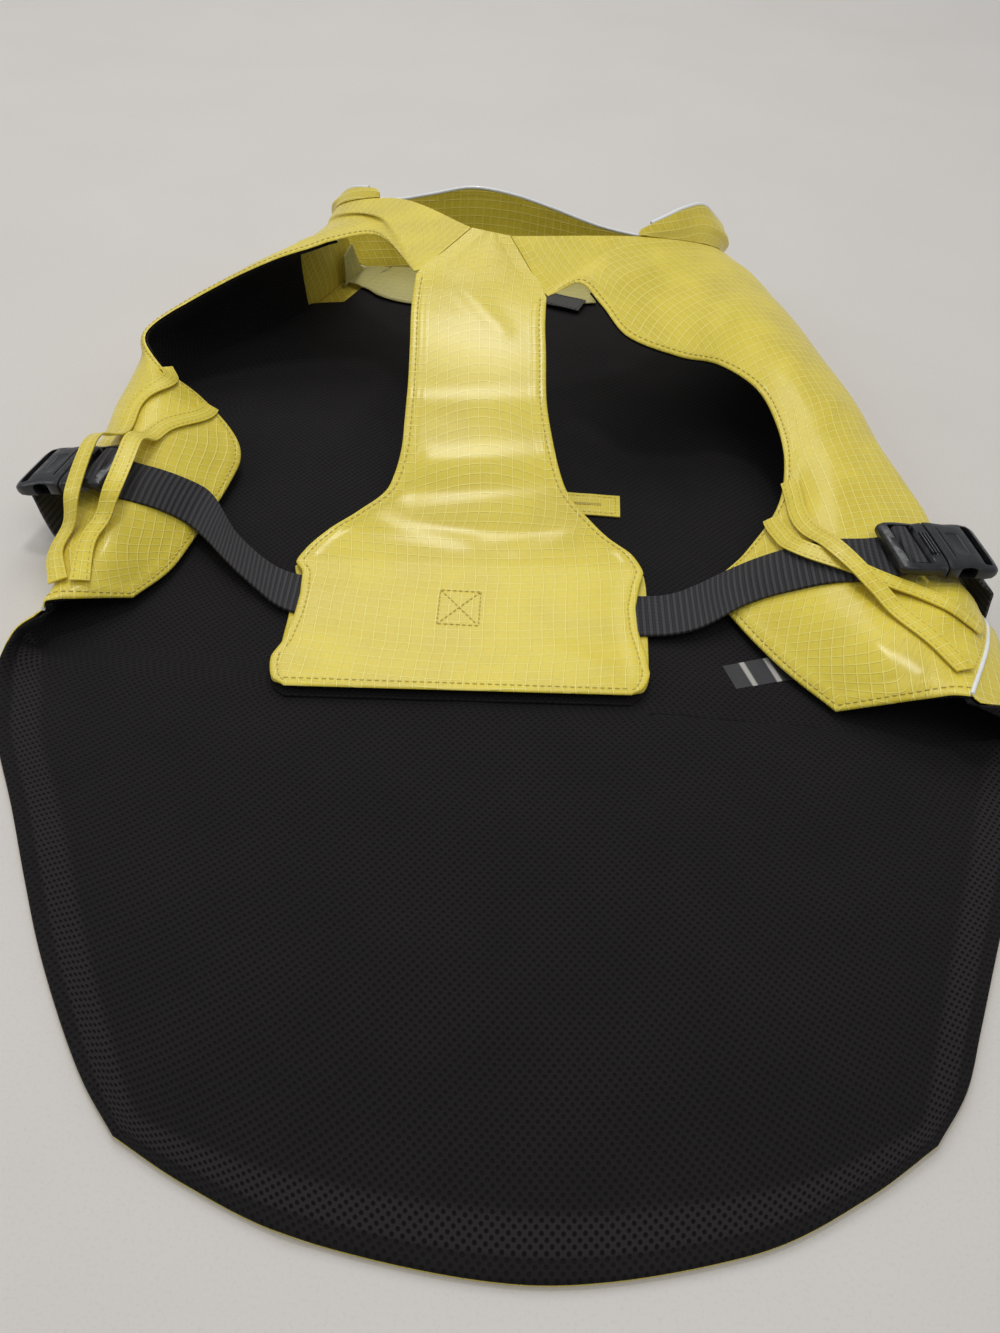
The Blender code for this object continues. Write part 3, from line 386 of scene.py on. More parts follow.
# ------------------------------------------------------------------ fine cloth
RIPSTOP_CLOTH = 0.45    # the shell's real look; its outer face is the solid's
MESH_CLOTH = 0.9        # the lining, whose inner face is the solid's
EDGE_STEPS = (0.0, 0.15, 0.5, 1.0, 1.7, 2.4, 3.1, 3.8, 5.0, 6.4, 7.4)   # columns from a free edge
HEM_WIDTH = 6.4         # turned-in hem, which lies a little proud of the panel
HEM_STEP = 0.22
STITCH_INSET = 3.1      # topstitching from a free edge
STITCH_GROOVE = 0.16
SEAM_REACH = 0.4        # shell panels stop this far from the seam line
LINING_END = NECK - 2.5     # the section where the side linings stop, short of the throat's folds
STRIP_EASING, WEB_EASING = 45, 36       # passes that ease the bends of strips and webbing

Spot = namedtuple("Spot", "at edge")                # a point and how far it is from a free edge
Crease = namedtuple("Crease", "start end half_width height")    # height outward is positive

CREASES_RIGHT = [
    Crease((124, 480, 62), (104, 432, 60), 5.0, 1.3),
    Crease((104, 432, 60), (92, 396, 56), 4.0, 0.9),
    Crease((160, 396, 40), (128, 350, 30), 6.0, 1.2),
    Crease((140, 500, 45), (112, 470, 62), 5.0, -0.5),
    Crease((70, 470, 74), (44, 440, 71), 5.0, 0.8),
    Crease((168, 330, 33), (132, 300, 30), 5.0, -0.45),
    Crease((172, 262, 33), (128, 246, 22), 6.0, 0.9),
    Crease((100, 540, 60), (64, 505, 76), 4.5, 0.7),
    Crease((150, 440, 48), (138, 410, 50), 4.0, 0.8),
    Crease((190, 330, 24), (178, 372, 34), 4.0, 0.6),
]
CREASES_LEFT = [
    Crease((-190, 262, 22), (-158, 300, 31), 6.0, 1.0),
    Crease((-196, 345, 22), (-168, 330, 34), 5.0, 0.8),
    Crease((-150, 268, 15), (-172, 290, 30), 5.0, -0.45),
    Crease((-190, 400, 34), (-176, 372, 36), 5.0, 0.9),
    Crease((-86, 500, 72), (-64, 470, 75), 5.0, 0.8),
    Crease((-128, 506, 56), (-104, 486, 66), 4.5, 0.7),
    Crease((-146, 330, 18), (-176, 318, 33), 5.0, 0.7),
    Crease((-172, 446, 46), (-152, 474, 52), 5.0, -0.5),
]
CREASES_BACK = [        # inward, off the surface that the coat lies on
    Crease((-56, 86, 0), (-49, 8, 0), 5.0, -0.9),
    Crease((64, 150, 0), (96, 40, 0), 12.0, -1.1),
    Crease((-120, 190, 0), (-20, 150, 0), 14.0, -1.0),
    Crease((10, 250, 0), (150, 210, 0), 12.0, -1.2),
    Crease((-92, 380, 0), (-60, 470, 0), 10.0, -1.3),
    Crease((30, 420, 0), (70, 360, 0), 9.0, -1.2),
    Crease((-30, 96, 0), (40, 62, 0), 13.0, -0.8),
    Crease((120, 120, 0), (166, 150, 0), 9.0, -1.1),
    Crease((-150, 130, 0), (-120, 90, 0), 9.0, -1.0),
]
CREASES_CHEST = [
    Crease((-86, 264, 8.6), (57, 265, 8.6), 13.0, 0.7),      # over the webbing's channel
    Crease((-44, 322, 24), (16, 330, 26), 5.0, -0.5),
    Crease((-38, 335, 32), (14, 341, 34), 6.0, 0.6),
    Crease((-46, 368, 47), (12, 372, 48), 9.0, 0.5),
    Crease((-60, 306, 17), (-20, 300, 14), 5.0, 0.5),
    Crease((30, 306, 17), (4, 296, 13), 5.0, 0.5),
    Crease((-30, 430, 73), (-8, 404, 63), 5.0, 0.5),
    Crease((-70, 240, 8.4), (-30, 226, 8.4), 6.0, 0.4),
    Crease((20, 240, 8.4), (48, 226, 8.4), 6.0, 0.4),
]


def to_frame(point):
    return (point - ORIGIN) * MM


def steps(start, end, count):
    return [start + (end - start) * i / (count - 1) for i in range(count)]


def crease_lift(point, creases):
    total = 0.0
    for crease in creases:
        start, along = Vector(crease.start), Vector(crease.end) - Vector(crease.start)
        t = min(max((point - start).dot(along) / along.length_squared, 0.0), 1.0)
        away = (point - start - along * t).length / crease.half_width
        if away < 3:
            total += crease.height * math.exp(-away * away) * (1 - 0.45 * t)
    return total


def ripple(point, size, amount):
    return noise.noise(point / size) * amount


def round_over(distance, radius):
    """How far an edge falls away at a distance from it, as part of its radius."""
    if distance >= radius:
        return 0.0
    return 1 - math.sqrt(1 - (1 - distance / radius) ** 2)


def shell_depth(spot):
    """Outer face of a shell panel below the solid's: rounded edge, hem step, stitch groove."""
    hem = HEM_STEP * min(max((HEM_WIDTH + 0.9 - spot.edge) / 0.9, 0.0), 1.0)
    groove = STITCH_GROOVE * math.exp(-((spot.edge - STITCH_INSET) / 0.5) ** 2)
    return 1.0 * round_over(spot.edge, 1.2) - hem + groove


def lining_depth(spot):
    """Inner face of the lining below the shell's outer face, rounded down at a free edge."""
    channel = 0.5 * math.exp(-((spot.edge - 5.4) / 1.0) ** 2)
    swell = ripple(spot.at, 26.0, 0.45) * min(spot.edge / 12.0, 1.0)
    return INSIDE - 1.3 * round_over(spot.edge, 1.7) - channel + swell


def tighten(grid):
    """Adds a row and a column just inside each side, so that shading stays even to the edge."""
    def near(a, b, share=0.04):
        return Spot(a.at.lerp(b.at, share), a.edge + (b.edge - a.edge) * share)
    rows = [[row[0], near(row[0], row[1]), *row[1:-1], near(row[-1], row[-2]), row[-1]]
            for row in grid]
    first = [near(a, b) for a, b in zip(rows[0], rows[1])]
    last = [near(a, b) for a, b in zip(rows[-1], rows[-2])]
    return [rows[0], first, *rows[1:-1], last, rows[-1]]


def lengths(points):
    total, found = 0.0, [0.0]
    for a, b in zip(points, points[1:]):
        total += (b - a).length
        found.append(total)
    return found


def cloth_coordinates(grid):
    """Metres across and along the cloth, counted from its middle column and middle row."""
    middle_row, middle = len(grid) // 2, len(grid[0]) // 2
    columns = [lengths([spot.at for spot in column]) for column in zip(*grid)]
    table = []
    for i, row in enumerate(grid):
        across = lengths([spot.at for spot in row])
        table.append([((u - across[middle]) * MM, (column[i] - column[middle_row]) * MM)
                      for u, column in zip(across, columns)])
    return table


def surface(name, grid, made_of, thickness, flip=False, depth=None, creases=(), centred=False,
            lowest=None):
    """A piece of cloth through a grid of spots, moved along its normals by depth and creases."""
    bm = bmesh.new()
    layer = bm.loops.layers.uv.new("cloth")
    rim = bm.verts.layers.float.new("from_edge")
    table = cloth_coordinates(grid)
    verts = [[bm.verts.new(spot.at) for spot in row] for row in grid]
    where = {}
    for i, row in enumerate(verts):
        for j, vert in enumerate(row):
            where[vert] = (i, j)
    for lower, upper in zip(verts, verts[1:]):
        for a, b, c, d in zip(lower, lower[1:], upper[1:], upper):
            face = bm.faces.new((d, c, b, a) if flip else (a, b, c, d))
            face.smooth = True
            for loop in face.loops:
                i, j = where[loop.vert]
                loop[layer].uv = table[i][j]
    bm.normal_update()
    for vert, (i, j) in where.items():
        spot = grid[i][j]
        vert[rim] = spot.edge
        move = crease_lift(spot.at, creases) - (depth(spot) if depth else 0.0)
        place = spot.at + vert.normal * move
        if lowest is not None:
            place.z = max(place.z, lowest)
        where[vert] = place
    for vert, place in where.items():
        vert.co = to_frame(place)
    mesh = bpy.data.meshes.new(name)
    bm.to_mesh(mesh)
    bm.free()
    mesh.materials.append(made_of)
    obj = bpy.data.objects.new(name, mesh)
    bpy.context.scene.collection.objects.link(obj)
    wall = obj.modifiers.new("wall", "SOLIDIFY")
    wall.thickness = thickness * MM
    wall.offset = 0.0 if centred else -1.0
    return obj


def longest(lines):
    return max(lengths([spot.at for spot in line])[-1] for line in lines) * MM


def place_piece(obj, slot, *nodes):
    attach(obj, "root")
    if nodes:
        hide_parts(*nodes)
    return obj


def declare_sheet(grid):
    """Works out the cut of a piece, as wide and long as its longest row and column; the size is not
    kept.
    """
    flat = (longest(grid), longest(zip(*grid)))


# ------------------------------------------------------------------ grids on the panels
def edge_parameter(length, count, end):
    """Parameters from a free edge at 0: the edge steps, then even ones up to the end."""
    first = [step / length for step in EDGE_STEPS]
    return first + steps(first[-1], end, count + 1)[1:]


def by_length(point_at, end, first_steps, last_steps, count, samples=72):
    """Parameters at given distances from a curve's two ends, and even ones between."""
    tries = steps(0, end, samples)
    where = lengths([point_at(t) for t in tries])
    inner = steps(first_steps[-1], where[-1] - last_steps[-1], count)[1:-1]
    wanted = [*first_steps, *inner, *[where[-1] - step for step in reversed(last_steps)]]
    found, i = [], 0
    for distance in wanted:
        while i < samples - 2 and where[i + 1] < distance:
            i += 1
        span = where[i + 1] - where[i]
        found.append(tries[i] + (tries[i + 1] - tries[i]) * (distance - where[i]) / span)
    return found, wanted, where[-1]


def side_length(sections, s):
    return (side_point(sections, s, 1) - side_point(sections, s, 0)).length


def side_grid(sections, seam_inset, last=NECK):
    """Rows from the flap's rear hem to the neck; columns from the armhole edge to the seam."""
    hem_length = (side_point(sections, 1, 1) - side_point(sections, 0, 1)).length
    grid = []
    for s in edge_parameter(hem_length, 112, last):
        seam = (side_point(sections, s, 4) - side_point(sections, s, 3)).length
        columns = edge_parameter(side_length(sections, s), 46, 4 - seam_inset / seam)
        row = []
        for c in columns:
            point = side_point(sections, s, c)
            across = c * side_length(sections, s) if s < THROAT - 0.3 else 99.0
            row.append(Spot(point, min(across, s * hem_length)))
        grid.append(row)
    return grid


def back_grid(seam_inset):
    """Rows from the rump hem to the neck; columns from the left edge to the right one."""
    hem_length = (back_point(1, 3) - back_point(0, 3)).length
    grid = []
    for b in edge_parameter(hem_length, 150, len(BACK) - 1):
        free = b < RUMP_ROWS - 0.2
        inset = 0.0 if free else seam_inset
        edges = [step + inset for step in EDGE_STEPS]
        columns, places, total = by_length(lambda t: back_point(b, t), 6, edges, edges, 84)
        row = []
        for t, place in zip(columns, places):
            sideways = min(place, total - place) if free else 99.0
            row.append(Spot(back_point(b, t), min(sideways, b * hem_length)))
        grid.append(row)
    return grid


def chest_point(k, x, drop=None, tuck=False):
    """A point on the chest panel at row k, x from 0 (left edge) to 1 (right edge)."""
    left = through([row.left for row in CHEST], k, slopes_monotone)
    right = through([row.right for row in CHEST], k, slopes_monotone)
    i = min(int(k), len(CHEST) - 2)
    share = k - i

    def value(field):
        return getattr(CHEST[i], field) * (1 - share) + getattr(CHEST[i + 1], field) * share

    if tuck:
        left, right = toward(left, right, value("left_tuck")), toward(right, left, value("right_tuck"))
    if k <= 2:
        left, right = toward(left, right, THROAT_INSET), toward(right, left, THROAT_INSET)
    point = left.lerp(right, x)
    if drop:
        point.z -= value(drop)
    return point


def chest_grid(first, drop=None, tuck=False, reach=0.0):
    """Rows from the throat (or a later row) to the bottom hem, left edge to right edge."""
    last = len(CHEST) - 1
    hem = (chest_point(last, 0.5) - chest_point(last - 1, 0.5)).length
    ends = [last - step / hem for step in reversed(EDGE_STEPS)]
    grid = []
    for k in steps(first, ends[0], 130)[:-1] + ends:
        left, right = chest_point(k, 0, drop, tuck), chest_point(k, 1, drop, tuck)
        width = (right - left).length
        edges = [step / width for step in EDGE_STEPS]
        row = []
        for x in edges + steps(edges[-1], 1 - edges[-1], 34)[1:-1] + [1 - e for e in reversed(edges)]:
            beside = min(x, 1 - x) * width if k > 2.2 else 99.0
            below = (last - k) * hem
            point = chest_point(k, x, drop, tuck)
            point.y -= reach * max(0.0, 1 - below / 6)
            row.append(Spot(point, min(beside, below)))
        grid.append(row)
    return grid


def plain_grid(rows):
    return [[Spot(point, 99.0) for point in row] for row in rows]


# ------------------------------------------------------------------ materials
def new_material(name, colour, roughness, **sockets):
    made = bpy.data.materials.new(name)
    made.use_nodes = True
    shader = made.node_tree.nodes["Principled BSDF"]
    shader.inputs["Base Color"].default_value = (*colour, 1.0)
    shader.inputs["Roughness"].default_value = roughness
    for socket, value in sockets.items():
        shader.inputs[socket.replace("_", " ")].default_value = value
    return made, made.node_tree, shader


def node(tree, kind, inputs=(), **settings):
    made = tree.nodes.new(kind)
    for key, value in settings.items():
        setattr(made, key, value)
    for key, value in dict(inputs).items():
        if isinstance(value, bpy.types.NodeSocket):
            tree.links.new(value, made.inputs[key])
        else:
            made.inputs[key].default_value = value
    return made


def maths(tree, operation, a, b=0.0):
    return node(tree, "ShaderNodeMath", {0: a, 1: b}, operation=operation).outputs[0]


def ramp(tree, value, low, high, out_low, out_high):
    return node(tree, "ShaderNodeMapRange", {"Value": value, "From Min": low, "From Max": high,
                                             "To Min": out_low, "To Max": out_high},
                interpolation_type="SMOOTHSTEP").outputs["Result"]


def blend_colour(tree, share, a, b):
    made = node(tree, "ShaderNodeMix", {0: share}, data_type="RGBA")
    for socket, value in ((6, a), (7, b)):
        if isinstance(value, bpy.types.NodeSocket):
            tree.links.new(value, made.inputs[socket])
        else:
            made.inputs[socket].default_value = (*value, 1.0)
    return made.outputs[2]


def cloth_uv(tree):
    """The cloth's own coordinates, in metres: across and along."""
    uv = node(tree, "ShaderNodeUVMap", uv_map="cloth").outputs["UV"]
    split = node(tree, "ShaderNodeSeparateXYZ", {0: uv})
    return uv, split.outputs[0], split.outputs[1]


def spot_noise(tree, scale, detail=2.0):
    place = node(tree, "ShaderNodeTexCoord").outputs["Object"]
    return node(tree, "ShaderNodeTexNoise", {"Vector": place, "Scale": scale, "Detail": detail}
                ).outputs["Fac"]


def bump(tree, height, distance, strength=1.0, under=None):
    inputs = {"Height": height, "Distance": distance, "Strength": strength}
    if under:
        inputs["Normal"] = under
    return node(tree, "ShaderNodeBump", inputs).outputs["Normal"]


def lines(tree, value, pitch, half_width):
    """1 on lines at each pitch, 0 between them."""
    away = maths(tree, "PINGPONG", value, pitch / 2)
    return ramp(tree, away, half_width * 0.4, half_width, 1.0, 0.0)


RIPSTOP_CELL = 0.0050
RIPSTOP_THREAD = 0.00048


def ripstop(name, base, thread, shade, roughness, strength):
    """Coated cloth with a grid of thicker threads, a fine weave and soft crinkles."""
    made, tree, shader = new_material(name, base, roughness, Coat_Weight=0.22,
                                      Coat_Roughness=0.16, Sheen_Weight=0.06)
    _, across, along = cloth_uv(tree)
    grid = maths(tree, "MAXIMUM", lines(tree, across, RIPSTOP_CELL, RIPSTOP_THREAD),
                 lines(tree, along, RIPSTOP_CELL, RIPSTOP_THREAD))
    clouds = spot_noise(tree, 38.0, 4.0)
    fine = spot_noise(tree, 700.0)
    shaded = blend_colour(tree, ramp(tree, clouds, 0.32, 0.68, 0.55, 0.0), base, shade)
    flecked = blend_colour(tree, ramp(tree, fine, 0.4, 0.9, 0.0, 0.25), shaded, thread)
    coloured = blend_colour(tree, maths(tree, "MULTIPLY", grid, 0.8), flecked, thread)
    tree.links.new(coloured, shader.inputs["Base Color"])
    tree.links.new(ramp(tree, clouds, 0.3, 0.7, roughness - 0.06, roughness + 0.1),
                   shader.inputs["Roughness"])
    weave = maths(tree, "MULTIPLY", maths(tree, "SINE", maths(tree, "MULTIPLY", across, 9000.0)),
                  maths(tree, "SINE", maths(tree, "MULTIPLY", along, 9000.0)))
    crinkle = bump(tree, spot_noise(tree, 75.0, 3.0), 0.0022, strength)
    woven = bump(tree, weave, 0.00005, 0.5, crinkle)
    tree.links.new(bump(tree, grid, 0.00022, 0.9, woven), shader.inputs["Normal"])
    return made


def spacer_mesh(name):
    """Black knitted mesh: round holes in staggered rows, with soft knitted ribs between."""
    made, tree, shader = new_material(name, (0.008, 0.0068, 0.0072), 0.86, Sheen_Weight=0.03,
                                      Specular_IOR_Level=0.16)
    uv = cloth_uv(tree)[0]
    pitch_x, pitch_y = 0.0030, 0.0034
    holes = []
    for shift in (0.0, 0.5):
        scaled = node(tree, "ShaderNodeVectorMath", {0: uv, 1: (1 / pitch_x, 1 / pitch_y, 0)},
                      operation="MULTIPLY").outputs[0]
        moved = node(tree, "ShaderNodeVectorMath", {0: scaled, 1: (shift, shift, 0)},
                     operation="ADD").outputs[0]
        cell = node(tree, "ShaderNodeVectorMath", {0: moved}, operation="FRACTION").outputs[0]
        centred = node(tree, "ShaderNodeVectorMath", {0: cell, 1: (0.5, 0.5, 0)},
                       operation="SUBTRACT").outputs[0]
        length = node(tree, "ShaderNodeVectorMath", {0: centred}, operation="LENGTH")
        holes.append(length.outputs["Value"])
    nearest = maths(tree, "MINIMUM", *holes)
    edge = node(tree, "ShaderNodeAttribute", attribute_name="from_edge").outputs["Fac"]
    # band: a strip beside a free edge where the knit is painted lighter (painted highlight) and its
    # holes darker (painted shade)
    band = maths(tree, "MULTIPLY", ramp(tree, edge, 5.5, 7.5, 0.0, 1.0),
                 ramp(tree, edge, 15.0, 20.0, 1.0, 0.0))
    solid = ramp(tree, nearest, 0.13, 0.27, 0.0, 1.0)
    clouds = spot_noise(tree, 30.0, 3.0)
    knit = blend_colour(tree, clouds, (0.0070, 0.0058, 0.0063), (0.0125, 0.0104, 0.0112))
    lit_knit = blend_colour(tree, maths(tree, "MULTIPLY", band, 0.8), knit, (0.021, 0.018, 0.019))
    # the holes are painted darker than the knit: painted shade, deepest in the band
    shaded_hole = blend_colour(tree, band, (0.0040, 0.0034, 0.0037), (0.0012, 0.0010, 0.0011))
    tree.links.new(blend_colour(tree, solid, shaded_hole, lit_knit), shader.inputs["Base Color"])
    rough = bump(tree, spot_noise(tree, 900.0), 0.0002, 0.5)
    tree.links.new(bump(tree, solid, 0.0004, 0.8, rough), shader.inputs["Normal"])
    return made


def webbing(name):
    """Black ribbed webbing: weft ribs across, with fine warp threads."""
    made, tree, shader = new_material(name, (0.020, 0.018, 0.021), 0.6, Sheen_Weight=0.05,
                                      Specular_IOR_Level=0.3)
    _, across, along = cloth_uv(tree)
    rib = lines(tree, along, 0.0028, 0.0011)
    warp = lines(tree, across, 0.0009, 0.0004)
    woven = maths(tree, "ADD", rib, maths(tree, "MULTIPLY", warp, 0.4))
    tree.links.new(blend_colour(tree, maths(tree, "MULTIPLY", woven, 0.7), (0.0075, 0.0070, 0.0080),
                                (0.050, 0.046, 0.051)), shader.inputs["Base Color"])
    fuzz = bump(tree, spot_noise(tree, 1500.0), 0.0002, 0.5)
    tree.links.new(bump(tree, woven, 0.0005, 1.0, fuzz), shader.inputs["Normal"])
    return made


def plastic(name):
    """Black moulded acetal, worn satin, with faint scuffs."""
    made, tree, shader = new_material(name, (0.012, 0.012, 0.013), 0.34)
    scuffs = spot_noise(tree, 260.0, 5.0)
    tree.links.new(ramp(tree, scuffs, 0.35, 0.75, 0.27, 0.5), shader.inputs["Roughness"])
    tree.links.new(blend_colour(tree, ramp(tree, scuffs, 0.55, 0.8, 0.0, 0.5),
                                (0.010, 0.010, 0.011), (0.035, 0.035, 0.037)),
                   shader.inputs["Base Color"])
    tree.links.new(bump(tree, spot_noise(tree, 1800.0), 0.00004, 0.7), shader.inputs["Normal"])
    return made


def reflective(name):
    """White reflective piping tape with a faint rib."""
    made, tree, shader = new_material(name, (0.86, 0.87, 0.86), 0.3, Coat_Weight=0.3)
    tone = spot_noise(tree, 320.0)
    tree.links.new(blend_colour(tree, tone, (0.74, 0.75, 0.75), (0.93, 0.94, 0.93)),
                   shader.inputs["Base Color"])
    tree.links.new(bump(tree, spot_noise(tree, 900.0), 0.00012, 0.6), shader.inputs["Normal"])
    return made


def thread(name, colour):
    made, tree, shader = new_material(name, colour, 0.5, Sheen_Weight=0.2)
    dark = tuple(value * 0.7 for value in colour)
    tree.links.new(blend_colour(tree, spot_noise(tree, 2500.0), dark, colour),
                   shader.inputs["Base Color"])
    tree.links.new(bump(tree, spot_noise(tree, 4000.0), 0.00008, 0.8), shader.inputs["Normal"])
    return made


def woven_tape(name, ground, band=None):
    """Smooth woven label tape; band, if given, is a paler stripe near each end."""
    made, tree, shader = new_material(name, ground, 0.5, Sheen_Weight=0.1)
    _, across, along = cloth_uv(tree)
    fine = lines(tree, along, 0.0007, 0.0003)
    colour = blend_colour(tree, maths(tree, "MULTIPLY", fine, 0.5), ground,
                          tuple(value * 2.2 for value in ground))
    if band:
        stripe = lines(tree, maths(tree, "ADD", across, 0.0055), 0.011, 0.0016)
        colour = blend_colour(tree, stripe, colour, band)
    tree.links.new(colour, shader.inputs["Base Color"])
    tree.links.new(bump(tree, fine, 0.00012, 0.8), shader.inputs["Normal"])
    return made


YELLOW_SHELL = ripstop("yellow_ripstop_cloth", (0.77, 0.61, 0.040), (0.90, 0.76, 0.15),
                       (0.62, 0.47, 0.025), 0.40, 0.35)
# The neck facing's cloth: the ripstop's matte reverse, its colour a darker khaki copy of the yellow,
# painted shade for the facing that lies in shadow inside the neck.
SHADED_REVERSE = ripstop("shaded_ripstop_reverse_cloth", (0.50, 0.45, 0.15), (0.56, 0.52, 0.22),
                  (0.40, 0.35, 0.11), 0.62, 0.3)
LINING_KNIT = spacer_mesh("spacer_mesh_knit")
WEB_WEAVE = webbing("ribbed_webbing")
BUCKLE_PLASTIC = plastic("moulded_plastic")
PIPING_TAPE = reflective("reflective_piping")
YELLOW_THREAD = thread("yellow_thread", (0.72, 0.58, 0.11))
DARK_THREAD = thread("black_thread", (0.02, 0.018, 0.02))
BLACK_TAPE = woven_tape("black_woven_tape", (0.012, 0.012, 0.013))
BANDED_TAPE = woven_tape("banded_woven_tape", (0.014, 0.014, 0.016), (0.42, 0.40, 0.36))


# ------------------------------------------------------------------ stitching
STITCH_PITCH = 3.0
STITCH_LENGTH = 2.1
STITCH_RADIUS = 0.32
STITCH_SIDES = 5


def along_path(points, pitch, length):
    """Pairs of points, a stitch's length apart, at each pitch along a path."""
    where = lengths(points)

    def at(distance):
        for i in range(len(points) - 1):
            if where[i + 1] >= distance:
                span = max(where[i + 1] - where[i], 1e-6)
                return points[i].lerp(points[i + 1], (distance - where[i]) / span)
        return points[-1]

    count = int((where[-1] - length) / pitch) + 1
    return [(at(k * pitch), at(k * pitch + length)) for k in range(max(count, 1))]


def add_stitch(bm, start, end, radius=STITCH_RADIUS):
    along = (end - start).normalized()
    side = along.orthogonal().normalized()
    other = along.cross(side)
    rings = []
    for share in (0.2, 0.8):
        centre = start.lerp(end, share)
        ring = []
        for i in range(STITCH_SIDES):
            a = 2 * math.pi * i / STITCH_SIDES
            spoke = (side * math.cos(a) + other * math.sin(a)) * radius
            ring.append(bm.verts.new(to_frame(centre + spoke)))
        rings.append(ring)
    tips = [bm.verts.new(to_frame(start)), bm.verts.new(to_frame(end))]
    for i in range(STITCH_SIDES):
        j = (i + 1) % STITCH_SIDES
        for corners in ((rings[0][i], rings[0][j], rings[1][j], rings[1][i]),
                        (rings[0][j], rings[0][i], tips[0]), (rings[1][i], rings[1][j], tips[1])):
            bm.faces.new(corners).smooth = True


def stitching(name, paths, made_of, slot, pitch=STITCH_PITCH, length=STITCH_LENGTH,
              radius=STITCH_RADIUS):
    """One mesh of thread stitches along some paths, half sunk in the cloth."""
    bm = bmesh.new()
    for path in paths:
        for start, end in along_path(path, pitch, length):
            if (end - start).length > length / 3:
                add_stitch(bm, start, end, radius)
    bmesh.ops.recalc_face_normals(bm, faces=bm.faces)
    mesh = bpy.data.meshes.new(name)
    bm.to_mesh(mesh)
    bm.free()
    mesh.materials.append(made_of)
    obj = bpy.data.objects.new(name, mesh)
    bpy.context.scene.collection.objects.link(obj)
    return place_piece(obj, slot)


def edge_stitches(sections, outward, first, last, inset=STITCH_INSET):
    """A path beside a side panel's free edge."""
    creases = CREASES_LEFT if sections is LEFT else CREASES_RIGHT
    path = []
    for s in steps(first, last, 160):
        c = inset / side_length(sections, s)
        lift = HEM_STEP + 0.14 + crease_lift(side_point(sections, s, c), creases)
        path.append(on_panel(sections, s, c, lift, outward))
    return path


def hem_stitches(sections, outward, inset=STITCH_INSET):
    """A path beside a flap's rear hem, from its inner corner to the seam."""
    creases = CREASES_LEFT if sections is LEFT else CREASES_RIGHT
    s = inset / (side_point(sections, 1, 1) - side_point(sections, 0, 1)).length
    path = []
    for c in steps(inset / side_length(sections, 0), 3.9, 60):
        lift = HEM_STEP + 0.14 + crease_lift(side_point(sections, s, c), creases)
        path.append(on_panel(sections, s, c, lift, outward))
    return path


def seam_stitches(sections, outward, inset, first=0.4, last=NECK - 0.3):
    path = []
    for s in steps(first, last, 150):
        seam = (side_point(sections, s, 4) - side_point(sections, s, 3)).length
        point = on_panel(sections, s, 4 - inset / seam, 0.05, outward)
        if point.z > 0.8:
            path.append(point)
    return path


# ------------------------------------------------------------------ panels
def build_panels():
    right_side, left_side = side_grid(RIGHT, SEAM_REACH), side_grid(LEFT, SEAM_REACH)
    back = back_grid(SEAM_REACH)
    shells = {}
    for name, grid, flip, creases, node_name in (
            ("shell_left_cloth", left_side, True, CREASES_LEFT, "shell_left"),
            ("shell_right_cloth", right_side, False, CREASES_RIGHT, "shell_right"),
            ("shell_back_cloth", back, True, CREASES_BACK, "shell_back")):
        fine = tighten(grid)
        obj = surface(name, fine, YELLOW_SHELL, RIPSTOP_CLOTH, flip, shell_depth, creases, lowest=0.0)
        shells[node_name] = (place_piece(obj, "yellow_ripstop", node_name), fine)
    for name, grid, flip, creases, node_name in (
            ("lining_left_knit", side_grid(LEFT, 0.0, LINING_END), True, CREASES_LEFT,
             "lining_left"),
            ("lining_right_knit", side_grid(RIGHT, 0.0, LINING_END), False, CREASES_RIGHT,
             "lining_right"),
            ("lining_back_knit", back_grid(0.0), True, CREASES_BACK, "lining_back")):
        fine = tighten(grid)
        obj = lining_surface(name, fine, flip, creases)
        place_piece(obj, "black_spacer_mesh", node_name)
        declare_sheet(fine)
    return shells


def lining_surface(name, grid, flip, creases):
    """The lining: its inner face below the shell's outer face, thickened back towards it."""
    obj = surface(name, grid, LINING_KNIT, MESH_CLOTH, flip, lining_depth, creases,
                  lowest=MESH_CLOTH + RIPSTOP_CLOTH)
    obj.modifiers["wall"].offset = 1.0
    return obj


def build_facing():
    rs, depths = [row.r for row in FACING], [row.depth for row in FACING]
    rows = []
    for f in steps(0, 1, 16):
        row = []
        for i in steps(0, len(FACING) - 1, 60):
            r = hermite(rs, slopes_monotone(rs), i)
            depth = hermite(depths, slopes_smooth(depths), i)
            row.append(neck_point(NECK - 0.06 - depth * (1 - f), r))
        rows.append(row)
    grid = plain_grid(rows)
    # the facing's darker khaki colour is painted shade
    obj = surface("neck_facing_cloth", grid, SHADED_REVERSE, RIPSTOP_CLOTH, True,
                  lambda spot: FACING_DROP + 0.25 + ripple(spot.at, 22.0, 0.35))
    place_piece(obj, "ripstop_reverse", "neck_facing")
    declare_sheet(grid)


# ------------------------------------------------------------------ chest panel
CHEST_LINING_CLOTH = 0.8
CHANNEL_STITCH_INSET = 3.5
FACING_SHORTER = 3.2        # the facing's bottom hem, inside the panel's
BOX_ROW, BOX_ROW_Y, BOX_ROW_STEP = 14, 250.8, 14.1      # a chest row, its y, y between such rows
BOX_STITCH = ((-27.5, 270.5), (-10.0, 249.5))     # far left and near right corner, mm


def chest_depth(spot):
    return shell_depth(spot) * 0.8


